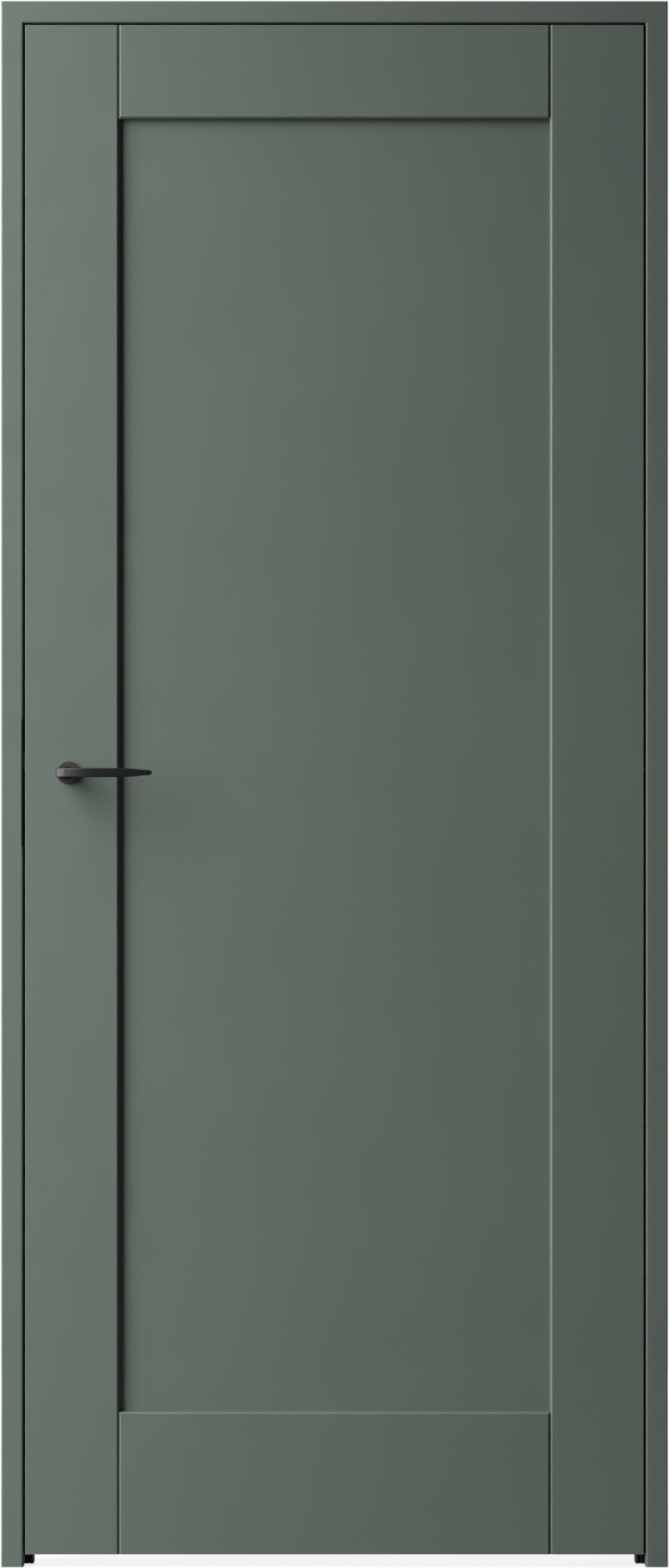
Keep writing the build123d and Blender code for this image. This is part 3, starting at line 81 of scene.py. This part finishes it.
camera_data = bpy.data.cameras.new("photo_camera")
camera_data.sensor_fit = "VERTICAL"
camera_data.sensor_height = SENSOR
camera_data.lens = SENSOR * VIEW_DISTANCE / VIEW_HEIGHT
camera = bpy.data.objects.new("photo_camera", camera_data)
camera.location = (0.0, front_y - VIEW_DISTANCE, VIEW_CENTRE_Z)
camera.rotation_euler = (radians(90), 0.0, 0.0)
bpy.context.scene.collection.objects.link(camera)
bpy.context.scene.camera = camera
print("lens", round(camera_data.lens, 1), "mm at", VIEW_DISTANCE, "m")

# %% [markdown]
# Every finish below starts in the same way: a material with one Principled shader, and patterns that
# read Object coordinates. All solids sit at the origin with their place in the mesh, so one pattern
# runs on over a joint without a step and stays on its piece when the leaf swings. These helpers make
# a blank finish, a noise pattern, a pattern turned into a range of values or a blend of two tones,
# and a fine bump. Noise hardly ever reaches 0 or 1, so the ranges start from its usual middle part.

# %% Helpers for finishes
NOISE_LOW = 0.3
NOISE_HIGH = 0.7
FINE = 2.0
CLOUDY = 3.0
EVEN = (1.0, 1.0, 1.0)


def blank_finish(name, **sockets):
    finish = bpy.data.materials.new(name)
    finish.use_nodes = True
    shader = finish.node_tree.nodes["Principled BSDF"]
    for socket, value in sockets.items():
        shader.inputs[socket.replace("_", " ")].default_value = value
    return finish, finish.node_tree, shader


def feed(tree, shader, **sockets):
    for socket, source in sockets.items():
        tree.links.new(source, shader.inputs[socket.replace("_", " ")])


def noise(tree, scale, detail=FINE, stretch=EVEN):
    place = tree.nodes.new("ShaderNodeTexCoord")
    mapping = tree.nodes.new("ShaderNodeMapping")
    mapping.inputs["Scale"].default_value = stretch
    pattern = tree.nodes.new("ShaderNodeTexNoise")
    pattern.inputs["Scale"].default_value = scale
    pattern.inputs["Detail"].default_value = detail
    tree.links.new(place.outputs["Object"], mapping.inputs["Vector"])
    tree.links.new(mapping.outputs["Vector"], pattern.inputs["Vector"])
    return pattern.outputs["Fac"]


def spread(tree, pattern, low, high):
    ramp = tree.nodes.new("ShaderNodeMapRange")
    ramp.inputs["From Min"].default_value = NOISE_LOW
    ramp.inputs["From Max"].default_value = NOISE_HIGH
    ramp.inputs["To Min"].default_value = low
    ramp.inputs["To Max"].default_value = high
    tree.links.new(pattern, ramp.inputs["Value"])
    return ramp.outputs["Result"]


def blend(tree, pattern, first, second):
    mix = tree.nodes.new("ShaderNodeMix")
    mix.data_type = "RGBA"
    mix.inputs["A"].default_value = (*first, 1.0)
    mix.inputs["B"].default_value = (*second, 1.0)
    tree.links.new(spread(tree, pattern, 0.0, 1.0), mix.inputs["Factor"])
    return mix.outputs["Result"]


def bump(tree, pattern, depth):
    relief = tree.nodes.new("ShaderNodeBump")
    relief.inputs["Strength"].default_value = 1.0
    relief.inputs["Distance"].default_value = depth
    tree.links.new(pattern, relief.inputs["Height"])
    return relief.outputs["Normal"]


print("helpers ready")

# %% [markdown]
# The leaf and the frame carry one sprayed satin lacquer in a grey sage green. Sprayed lacquer isn't
# dead flat: it drifts a little in tone over a hand's width, its gloss varies, and close up it has a
# fine orange peel. A flat colour would look like plastic film, so slow noise moves the tone and the
# gloss, and fast noise gives the peel as a very shallow bump.

# %% Sage lacquer
SAGE_DARK = (0.124, 0.158, 0.134)
SAGE_LIGHT = (0.131, 0.165, 0.140)
SAGE_GLOSS = (0.42, 0.50)
SAGE_DRIFT_SCALE = 5.0
SAGE_GLOSS_SCALE = 28.0
PEEL_SCALE = 420.0
PEEL_DEPTH = 0.00006


def sage_lacquer():
    finish, tree, shader = blank_finish("sage_lacquer")
    tone = blend(tree, noise(tree, SAGE_DRIFT_SCALE, CLOUDY), SAGE_DARK, SAGE_LIGHT)
    gloss = spread(tree, noise(tree, SAGE_GLOSS_SCALE), *SAGE_GLOSS)
    peel = bump(tree, noise(tree, PEEL_SCALE), PEEL_DEPTH)
    feed(tree, shader, Base_Color=tone, Roughness=gloss, Normal=peel)
    return finish


lacquer = sage_lacquer()
print("made", lacquer.name)

# %% [markdown]
# The seals are soft extruded rubber. It is dull and slightly dusty along its length, so the noise is
# stretched along the run and both tone and gloss follow it. Its dark grey is partly its own colour and
# partly painted light: the tone is lifted above a black rubber's, so that the cut ends below the leaf,
# the only part the closed set shows, carry the bounce light that reaches them there. The end on the
# left lies in shadow and still looks black.

# %% Seal rubber
# Part of this grey is painted light: a lift that stands in for bounce light on the seal below the leaf.
RUBBER_DARK = (0.050, 0.050, 0.050)
RUBBER_LIGHT = (0.072, 0.072, 0.070)
RUBBER_GLOSS = (0.5, 0.68)
STREAK_SCALE = 90.0
STREAK_STRETCH = (1.0, 1.0, 0.15)
SKIN_SCALE = 900.0
SKIN_DEPTH = 0.00004


def seal_rubber():
    finish, tree, shader = blank_finish("seal_rubber")
    streaks = noise(tree, STREAK_SCALE, CLOUDY, STREAK_STRETCH)
    tone = blend(tree, streaks, RUBBER_DARK, RUBBER_LIGHT)
    gloss = spread(tree, streaks, *RUBBER_GLOSS)
    skin = bump(tree, noise(tree, SKIN_SCALE), SKIN_DEPTH)
    feed(tree, shader, Base_Color=tone, Roughness=gloss, Normal=skin)
    return finish


rubber = seal_rubber()
print("made", rubber.name)

# %% [markdown]
# Levers, roses, strike and forend have a satin black coating on metal. It is a thin paint, so it
# isn't a metal shader: the light of the studio lies on it as a soft, pale sheen where it bends
# towards the lamp, and the flat of the lever stays dark. A fine grain breaks the sheen up. The roses
# are pressed covers with a duller gloss and a lighter, greyer base than the levers. That base is
# painted sheen: it stands in for the light that their flat face catches. The hinges and the plastic
# parts differ only in tone, gloss and grain, so one function makes all.

# %% Satin black coating
COAT_IOR = 1.5
CLOUD_SCALE = 60.0
COAT_GLOSS_SCALE = 250.0
GRAIN_SCALE = 1500.0


def black_coating(name, dark, light, gloss, grain):
    finish, tree, shader = blank_finish(name, IOR=COAT_IOR)
    tone = blend(tree, noise(tree, CLOUD_SCALE, CLOUDY), dark, light)
    sheen = spread(tree, noise(tree, COAT_GLOSS_SCALE), *gloss)
    texture = bump(tree, noise(tree, GRAIN_SCALE), grain)
    feed(tree, shader, Base_Color=tone, Roughness=sheen, Normal=texture)
    return finish


satin_black = black_coating(
    "satin_black",
    dark=(0.007, 0.007, 0.007),
    light=(0.010, 0.010, 0.010),
    gloss=(0.38, 0.43),
    grain=0.00002,
)
# The roses' lighter, greyer base is painted sheen, standing in for light that their flat face catches.
rose_black_painted_sheen = black_coating(
    "rose_black_painted_sheen",
    dark=(0.030, 0.032, 0.031),
    light=(0.038, 0.040, 0.039),
    gloss=(0.52, 0.58),
    grain=0.00003,
)
hinge_black = black_coating(
    "hinge_black",
    dark=(0.024, 0.024, 0.025),
    light=(0.034, 0.034, 0.035),
    gloss=(0.45, 0.55),
    grain=0.00004,
)
moulded_black = black_coating(
    "moulded_black",
    dark=(0.016, 0.016, 0.016),
    light=(0.022, 0.022, 0.022),
    gloss=(0.55, 0.65),
    grain=0.00006,
)
print("made", satin_black.name, rose_black_painted_sheen.name, hinge_black.name, moulded_black.name)

# %% [markdown]
# The latch case and its works are zinc plated steel, and the hinge pins are ground steel. Both are
# metal shaders. Plating has a cloudy gloss, and ground pins have fine lines round them, which noise
# gives when it is slow across the pin and fast along its length.

# %% Steels
LINE_SCALE = 140.0
STEEL_GLOSS_SCALE = 220.0
SCRATCH_SCALE = 700.0
SCRATCH_DEPTH = 0.00002
ROUND_THE_PIN = (0.2, 0.2, 6.0)


def bright_steel(name, dark, light, gloss, stretch):
    finish, tree, shader = blank_finish(name, Metallic=1.0)
    tone = blend(tree, noise(tree, LINE_SCALE, CLOUDY, stretch), dark, light)
    sheen = spread(tree, noise(tree, STEEL_GLOSS_SCALE, FINE, stretch), *gloss)
    scratches = bump(tree, noise(tree, SCRATCH_SCALE, FINE, stretch), SCRATCH_DEPTH)
    feed(tree, shader, Base_Color=tone, Roughness=sheen, Normal=scratches)
    return finish


zinc = bright_steel(
    "zinc_plated_steel",
    dark=(0.48, 0.48, 0.47),
    light=(0.60, 0.60, 0.58),
    gloss=(0.30, 0.42),
    stretch=EVEN,
)
ground = bright_steel(
    "ground_steel",
    dark=(0.46, 0.46, 0.46),
    light=(0.54, 0.54, 0.54),
    gloss=(0.22, 0.34),
    stretch=ROUND_THE_PIN,
)
print("made", zinc.name, ground.name)

# %% [markdown]
# The dowels in the rail joints are bare beech. They stay hidden, but a part that is taken apart shows
# them, so they get grain along X, which is the way they lie.

# %% Beech
BEECH_DARK = (0.42, 0.25, 0.13)
BEECH_LIGHT = (0.58, 0.39, 0.23)
BEECH_GLOSS = 0.65
BEECH_SCALE = 260.0
BEECH_DETAIL = 4.0
ALONG_X = (0.06, 1.0, 1.0)
PORE_DEPTH = 0.0001


def bare_beech():
    finish, tree, shader = blank_finish("bare_beech", Roughness=BEECH_GLOSS)
    grain = noise(tree, BEECH_SCALE, BEECH_DETAIL, ALONG_X)
    tone = blend(tree, grain, BEECH_DARK, BEECH_LIGHT)
    feed(tree, shader, Base_Color=tone, Normal=bump(tree, grain, PORE_DEPTH))
    return finish


beech = bare_beech()
print("made", beech.name)

# %% [markdown]
# The record says which material slot each solid belongs to. One table from slot to finish then
# dresses all of them, and a solid that is added later gets its finish without a new line here. Only
# the two roses differ from their slot: their coat is duller, and its lighter base is painted sheen.

# %% Dress the solids
finishes = {
    "lacquer": lacquer,
    "seal_rubber": rubber,
    "dowel_wood": beech,
    "black_metal": satin_black,
    "black_plastic": moulded_black,
    "lock_steel": zinc,
    "hinge_metal": hinge_black,
    "pin_steel": ground,
}
own_finishes = {"front_rose": rose_black_painted_sheen, "back_rose": rose_black_painted_sheen}
for row in frame["record"]["subparts"]:
    mesh = nodes[row["node"]].data
    mesh.materials.clear()
    mesh.materials.append(own_finishes.get(row["node"], finishes[row["material_slot"]]))

# %% [markdown]
# The small fittings come next. The solids have them as plain pins and discs, and a close look shows
# more: a socket for the key, a cup point, an eased rim. Their places are read from the solids: a copy
# of the node is merged and taken apart into its loose pieces, each piece's box is noted, and the
# copies go again. So a fitting stays in its hole when the model changes.

# %% Places of the small fittings
MERGE_GAP = 0.000001
SORT_DIGITS = 4


def activate(piece):
    if bpy.context.mode != "OBJECT":
        bpy.ops.object.mode_set(mode="OBJECT")
    bpy.ops.object.select_all(action="DESELECT")
    piece.select_set(True)
    bpy.context.view_layer.objects.active = piece


def from_the_left(box):
    low = box[0]
    return round(low.x, SORT_DIGITS), round(low.z, SORT_DIGITS), low.y


def loose_boxes(node):
    known = set(bpy.data.objects)
    copy = nodes[node].copy()
    copy.data = copy.data.copy()
    bpy.context.scene.collection.objects.link(copy)
    activate(copy)
    bpy.ops.object.mode_set(mode="EDIT")
    bpy.ops.mesh.select_all(action="SELECT")
    bpy.ops.mesh.remove_doubles(threshold=MERGE_GAP)
    bpy.ops.mesh.separate(type="LOOSE")
    bpy.ops.object.mode_set(mode="OBJECT")
    boxes = []
    for piece in [found for found in bpy.data.objects if found not in known]:
        points = [vertex.co for vertex in piece.data.vertices]
        low = Vector([min(point[axis] for point in points) for axis in range(3)])
        high = Vector([max(point[axis] for point in points) for axis in range(3)])
        boxes.append((low, high))
        bpy.data.objects.remove(piece)
    return sorted(boxes, key=from_the_left)


fitting_boxes = {node: loose_boxes(node) for node in ("grub_screws", "fixing_plugs", "corner_screws")}
for node, boxes in fitting_boxes.items():
    print(node, len(boxes), "loose pieces")

# %% [markdown]
# Each fitting is turned from a cylinder that lies along X, shaped in edit mode at its ends, and cut by
# a small tool for its socket. These helpers pick an end or only its flat cap, cut with a boolean that
# is applied at once, place copies that have their own mesh, and settle the finished piece: its place
# goes into the mesh, its edges are shaded by angle, and it gets its finish and the body it rides on.
# A lying cylinder's own Z points along X, so the tests look at Z.

# %% Helpers for modelling
LYING = radians(90)
FACING = 0.9
QUAD = 4
SMOOTH_ANGLE = radians(35)


def lie_along_x(sides, radius, length, place):
    bpy.ops.object.select_all(action="DESELECT")
    bpy.ops.mesh.primitive_cylinder_add(
        vertices=sides, radius=radius, depth=length, location=place, rotation=(0.0, LYING, 0.0)
    )
    return bpy.context.object


def pick_faces(piece, test):
    activate(piece)
    bpy.ops.object.mode_set(mode="EDIT")
    bpy.ops.mesh.select_mode(type="FACE")
    bpy.ops.mesh.select_all(action="DESELECT")
    bpy.ops.object.mode_set(mode="OBJECT")
    for face in piece.data.polygons:
        face.select = test(face)
    bpy.ops.object.mode_set(mode="EDIT")


def pick_end(piece, side):
    pick_faces(piece, lambda face: side * face.normal.z > FACING)


def pick_cap(piece, side):
    pick_faces(piece, lambda face: side * face.normal.z > FACING and len(face.vertices) > QUAD)


def cut_with(piece, tool):
    activate(piece)
    socket = piece.modifiers.new("socket", "BOOLEAN")
    socket.object = tool
    bpy.ops.object.modifier_apply(modifier=socket.name)
    bpy.data.objects.remove(tool)


def copy_to(piece, place, turn_deg):
    twin = piece.copy()
    twin.data = piece.data.copy()
    bpy.context.scene.collection.objects.link(twin)
    twin.location = place
    twin.rotation_euler = (0.0, LYING, radians(turn_deg))
    return twin


def copy_to_boxes(piece, boxes):
    middles = [(low + high) / 2 for low, high in boxes]
    return [copy_to(piece, middle, 0 if middle.x < 0 else 180) for middle in middles]


def settle(pieces, name, finish, body):
    activate(pieces[0])
    for piece in pieces:
        piece.select_set(True)
    if len(pieces) > 1:
        bpy.ops.object.join()
    joined = bpy.context.object
    bpy.ops.object.transform_apply(location=True, rotation=True, scale=True)
    bpy.ops.object.shade_smooth_by_angle(angle=SMOOTH_ANGLE)
    joined.name = name
    joined.data.materials.append(finish)
    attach(joined, body)
    print(name, len(joined.data.polygons), "faces on", body)
    return joined


print("tools ready")

# %% [markdown]
# A grub screw in each lever's neck presses on the spindle. On the real one, the outer end has a
# hexagon socket for a key, and the inner end is a cup that bites into the square. The ends are
# bevelled, the inner face is inset and pushed in to form the cup, and a six-sided tool cuts the
# socket. A texture could only fake the socket, and it would look flat from the side.

# %% Grub screws
HEXAGON = 6
GRUB_SIDES = 36
SOCKET_SHARE = 0.56
RIM_SHARE = 0.12
RIM_STEPS = 2
CUP_SHARE = 0.4

grub_boxes = fitting_boxes["grub_screws"]
low, high = grub_boxes[0]
grub_r = (high.z - low.z) / 2
grub_l = high.x - low.x
grub = lie_along_x(GRUB_SIDES, grub_r, grub_l, (low + high) / 2)
pick_faces(grub, lambda face: abs(face.normal.z) > FACING)
bpy.ops.mesh.bevel(offset=RIM_SHARE * grub_r, segments=RIM_STEPS, affect="EDGES")
pick_cap(grub, -1)
bpy.ops.mesh.inset(thickness=CUP_SHARE * grub_r)
bpy.ops.transform.translate(value=(CUP_SHARE * grub_r, 0.0, 0.0))
bpy.ops.object.mode_set(mode="OBJECT")
mouth = Vector((high.x, grub.location.y, grub.location.z))
cut_with(grub, lie_along_x(HEXAGON, SOCKET_SHARE * grub_r, grub_l, mouth))
low, high = grub_boxes[1]
grubs = [grub, copy_to(grub, (low + high) / 2, 0)]
grubs = settle(grubs, "socket_grub_screws", zinc, "lever_set")
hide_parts("grub_screws")

# %% [markdown]
# Plugs cover the fixing holes in the rebate. They are turned from plastic, painted with the frame, and
# lie flush, and only a thin eased rim tells them from the jamb. A bevel makes the rim, and the face is
# inset and raised by a hair, as a pressed-in plug is slightly crowned.

# %% Cover plugs
PLUG_SIDES = 48
EASE_SHARE = 0.07
EASE_STEPS = 3
CROWN_SHARE = 1 / 3
CROWN = 0.00015

plug_boxes = fitting_boxes["fixing_plugs"]
low, high = plug_boxes[0]
plug_r = (high.z - low.z) / 2
plug_t = high.x - low.x
plug = lie_along_x(PLUG_SIDES, plug_r, plug_t, (low + high) / 2)
pick_end(plug, 1)
bpy.ops.mesh.bevel(offset=EASE_SHARE * plug_r, segments=EASE_STEPS, affect="EDGES")
pick_cap(plug, 1)
bpy.ops.mesh.inset(thickness=CROWN_SHARE * plug_r)
bpy.ops.transform.translate(value=(CROWN, 0.0, 0.0))
bpy.ops.object.mode_set(mode="OBJECT")
plugs = [plug] + copy_to_boxes(plug, plug_boxes[1:])
plugs = settle(plugs, "eased_cover_plugs", lacquer, "frame")
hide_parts("fixing_plugs")

# %% [markdown]
# Long screws pull the mitres together from the frame's outer sides, where the wall hides them. They
# are countersunk, with a cross for the driver and a point that finds its way into the head. The head
# is one end face that is scaled out after the shank's end has been extruded, and two crossed bars cut
# the driver's cross.

# %% Corner screws
SCREW_SIDES = 32
HEAD_TO_SHANK = 2.0
HEAD_SHARE = 0.035
POINT_SHARE = 0.08
POINT_END = 0.1
CROSS_SHARE = 0.62
BLADE_SHARE = 0.16


def cross_bar(place, deep, wide, tall):
    bpy.ops.object.select_all(action="DESELECT")
    bpy.ops.mesh.primitive_cube_add(size=1.0, location=place, scale=(deep, wide, tall))
    return bpy.context.object


corner_boxes = fitting_boxes["corner_screws"]
low, high = corner_boxes[0]
head_r = (high.z - low.z) / 2
shank_l = high.x - low.x
head_h = HEAD_SHARE * shank_l
point_l = POINT_SHARE * shank_l
screw = lie_along_x(SCREW_SIDES, head_r / HEAD_TO_SHANK, shank_l, (low + high) / 2)
pick_end(screw, -1)
bpy.ops.transform.translate(value=(head_h, 0.0, 0.0))
bpy.ops.mesh.extrude_region_move(TRANSFORM_OT_translate={"value": (-head_h, 0.0, 0.0)})
bpy.ops.transform.resize(value=(1.0, HEAD_TO_SHANK, HEAD_TO_SHANK))
pick_end(screw, 1)
bpy.ops.transform.translate(value=(-point_l, 0.0, 0.0))
bpy.ops.mesh.extrude_region_move(TRANSFORM_OT_translate={"value": (point_l, 0.0, 0.0)})
bpy.ops.transform.resize(value=(1.0, POINT_END, POINT_END))
bpy.ops.object.mode_set(mode="OBJECT")
mouth = Vector((low.x, screw.location.y, screw.location.z))
cross_deep = 2 * head_h * CROSS_SHARE
cross_l = 2 * head_r * CROSS_SHARE
blade_w = 2 * head_r * BLADE_SHARE
cut_with(screw, cross_bar(mouth, cross_deep, blade_w, cross_l))
cut_with(screw, cross_bar(mouth, cross_deep, cross_l, blade_w))
screws = [screw] + copy_to_boxes(screw, corner_boxes[1:])
screws = settle(screws, "crosshead_corner_screws", zinc, "frame")
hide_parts("corner_screws")

# %% [markdown]
# Concealed hinges are set with a key from their flanges, so each flange carries two small adjusting
# screws beside its fixing screws. They are bushes with a stepped rim and a hexagon socket. One is
# modelled on the lowest frame flange. Copies go to the other flanges, turned round on the leaf's
# side, because there the flange looks the other way.

# %% Adjusting screws of the hinges
BUSH_SIDES = 32
BUSH_R = 0.0027
BUSH_L = 0.0016
BUSH_PROUD = 0.0004
BUSH_UP = 0.027
BUSH_ASIDE = 0.008


def bush_places(node, face_x, outward):
    low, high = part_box(node)
    middle = (low + high) / 2
    bush_x = face_x + outward * (BUSH_PROUD - BUSH_L / 2)
    return [Vector((bush_x, middle.y + side * BUSH_ASIDE, middle.z + side * BUSH_UP)) for side in (-1, 1)]


frame_bushes, leaf_bushes = [], []
for place in ("bottom", "middle", "top"):
    frame_housing = place + "_frame_housing"
    leaf_housing = place + "_leaf_housing"
    frame_bushes += bush_places(frame_housing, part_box(frame_housing)[0].x, -1)
    leaf_bushes += bush_places(leaf_housing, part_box(leaf_housing)[1].x, 1)
bush = lie_along_x(BUSH_SIDES, BUSH_R, BUSH_L, frame_bushes[0])
pick_end(bush, -1)
bpy.ops.mesh.bevel(offset=RIM_SHARE * BUSH_R, segments=RIM_STEPS, affect="EDGES")
pick_cap(bush, -1)
bpy.ops.mesh.inset(thickness=RIM_SHARE * BUSH_R)
bpy.ops.mesh.extrude_region_move(TRANSFORM_OT_translate={"value": (BUSH_PROUD / 2, 0.0, 0.0)})
bpy.ops.object.mode_set(mode="OBJECT")
mouth = frame_bushes[0] - Vector((BUSH_L / 2, 0.0, 0.0))
cut_with(bush, lie_along_x(HEXAGON, SOCKET_SHARE * BUSH_R, BUSH_L, mouth))
leaf_set = [copy_to(bush, spot, 180) for spot in leaf_bushes]
frame_set = [bush] + [copy_to(bush, spot, 0) for spot in frame_bushes[1:]]
settle(frame_set, "frame_adjusting_screws", zinc, "frame")
settle(leaf_set, "leaf_adjusting_screws", zinc, "leaf")

# %% [markdown]
# The photograph is lit by one tall soft light at the left that leans over and shines down. So the
# tone halves from left to right but hardly changes from top to bottom, ledges that face left or up
# shine, and the panel lies in the shadow of the stile and of the top rail. A tall area lamp with a
# limited spread, like a soft box with a grid, does that. The room is dim, so shadows stay deep. A
# second lamp stands behind the set for views of its back: the leaf keeps it from the front, and it
# stays below the head, so that no glare lies on the top. A weak third one reaches the hinge side from
# behind. There the photograph has only a dark line along the frame, so it may not shine any further.
# The last one stands for a white card at the left. It shows only in gloss: the lever's heel is pale to
# its end and a thin light line runs down the frame, but the lacquer gets no more light from it.

# %% Lamps
OPEN_SPREAD = 180


def soft_lamp(name, place, aim, width, height, power, spread_deg=OPEN_SPREAD):
    data = bpy.data.lights.new(name, "AREA")
    data.shape = "RECTANGLE"
    data.size = width
    data.size_y = height
    data.spread = radians(spread_deg)
    data.energy = power
    lamp = bpy.data.objects.new(name, data)
    lamp.location = place
    lamp.rotation_euler = (Vector(aim) - Vector(place)).to_track_quat("-Z", "Y").to_euler()
    bpy.context.scene.collection.objects.link(lamp)
    print(name, power, "W")
    return lamp


soft_lamp(
    "tall_soft_light",
    place=(-2.41, -1.27, 1.60),
    aim=(-0.8, 0.0, 0.4),
    width=1.67,
    height=4.79,
    power=86.0,
    spread_deg=97,
)
soft_lamp(
    "back_light",
    place=(-0.4, 2.8, 1.0),
    aim=(0.0, 0.0, 1.0),
    width=2.0,
    height=1.8,
    power=80.0,
)
soft_lamp(
    "side_fill",
    place=(2.6, 1.4, 1.3),
    aim=(0.44, 0.0, 1.0),
    width=1.2,
    height=2.2,
    power=26.0,
)
card = soft_lamp(
    "left_card",
    place=(-2.40, 0.46, 1.20),
    aim=(-0.4, 0.0, 1.05),
    width=1.9,
    height=2.6,
    power=65.0,
)
card.visible_diffuse = False

# %% [markdown]
# The background of the photograph is plain white. The world is white only to rays that the camera
# sees, and to mirror rays that leave towards the back, where a white backdrop would stand. All other
# rays meet a dim room, so the white doesn't wash the finish out. One helper gives the share of white
# for the world and later for the floor: 1 for camera rays, a rising share towards +Y for mirror rays.

# %% World
ROOM_LEVEL = 0.07
WORLD_BACK = (0.3, 0.9)


def math_node(tree, operation, first, second):
    node = tree.nodes.new("ShaderNodeMath")
    node.operation = operation
    tree.links.new(first, node.inputs[0])
    tree.links.new(second, node.inputs[1])
    return node.outputs[0]


def white_share(tree, place, back):
    rays = tree.nodes.new("ShaderNodeLightPath")
    split = tree.nodes.new("ShaderNodeSeparateXYZ")
    behind = tree.nodes.new("ShaderNodeMapRange")
    behind.inputs["From Min"].default_value = back[0]
    behind.inputs["From Max"].default_value = back[1]
    tree.links.new(place, split.inputs["Vector"])
    tree.links.new(split.outputs["Y"], behind.inputs["Value"])
    mirror = math_node(tree, "MAXIMUM", rays.outputs["Is Glossy Ray"], rays.outputs["Is Transmission Ray"])
    mirrored = math_node(tree, "MULTIPLY", mirror, behind.outputs["Result"])
    return math_node(tree, "MAXIMUM", rays.outputs["Is Camera Ray"], mirrored)


world = bpy.data.worlds.new("studio")
world.use_nodes = True
bpy.context.scene.world = world
tree = world.node_tree
direction = tree.nodes.new("ShaderNodeTexCoord")
level = tree.nodes.new("ShaderNodeMapRange")
level.inputs["To Min"].default_value = ROOM_LEVEL
level.inputs["To Max"].default_value = 1.0
tree.links.new(white_share(tree, direction.outputs["Generated"], WORLD_BACK), level.inputs["Value"])
background = tree.nodes["Background"]
background.inputs["Color"].default_value = (1.0, 1.0, 1.0, 1.0)
tree.links.new(level.outputs["Result"], background.inputs["Strength"])
print("room level", ROOM_LEVEL)

# %% [markdown]
# The floor is pale in the same way, but part of its tone comes from the lamps, so that it keeps the
# shadow of the set. A plain white plane would lose it, and the set would float. Towards its edge the
# glow rises to the backdrop's white, so no line shows where the floor ends.

# %% Floor
FLOOR_R = 4.0
FLOOR_SIDES = 96
FLOOR_TONE = 0.2
FLOOR_GLOSS = 0.9
FLOOR_BACK = (0.1, 0.8)
FADE_FROM = 1.2
FADE_TO = 3.0

bpy.ops.mesh.primitive_circle_add(
    vertices=FLOOR_SIDES, radius=FLOOR_R, fill_type="NGON", location=(0.0, 0.0, 0.0)
)
floor = bpy.context.object
floor.name = "studio_floor"
pale, tree, shader = blank_finish(
    "pale_floor",
    Base_Color=(FLOOR_TONE, FLOOR_TONE, FLOOR_TONE, 1.0),
    Roughness=FLOOR_GLOSS,
    Specular_IOR_Level=0.0,
    Emission_Color=(1.0, 1.0, 1.0, 1.0),
)
place = tree.nodes.new("ShaderNodeTexCoord").outputs["Object"]
reach = tree.nodes.new("ShaderNodeVectorMath")
reach.operation = "LENGTH"
fade = tree.nodes.new("ShaderNodeMapRange")
fade.inputs["From Min"].default_value = FADE_FROM
fade.inputs["From Max"].default_value = FADE_TO
fade.inputs["To Min"].default_value = 1.0 - FLOOR_TONE
fade.inputs["To Max"].default_value = 1.0
tree.links.new(place, reach.inputs[0])
tree.links.new(reach.outputs["Value"], fade.inputs["Value"])
glow = math_node(tree, "MULTIPLY", white_share(tree, place, FLOOR_BACK), fade.outputs["Result"])
feed(tree, shader, Emission_Strength=glow)
floor.data.materials.append(pale)
print("floor", FLOOR_R, "m")

# %% [markdown]
# The colours are written as they should look, so the view stays on Standard.

# %% Finish
bpy.context.scene.view_settings.view_transform = "Standard"
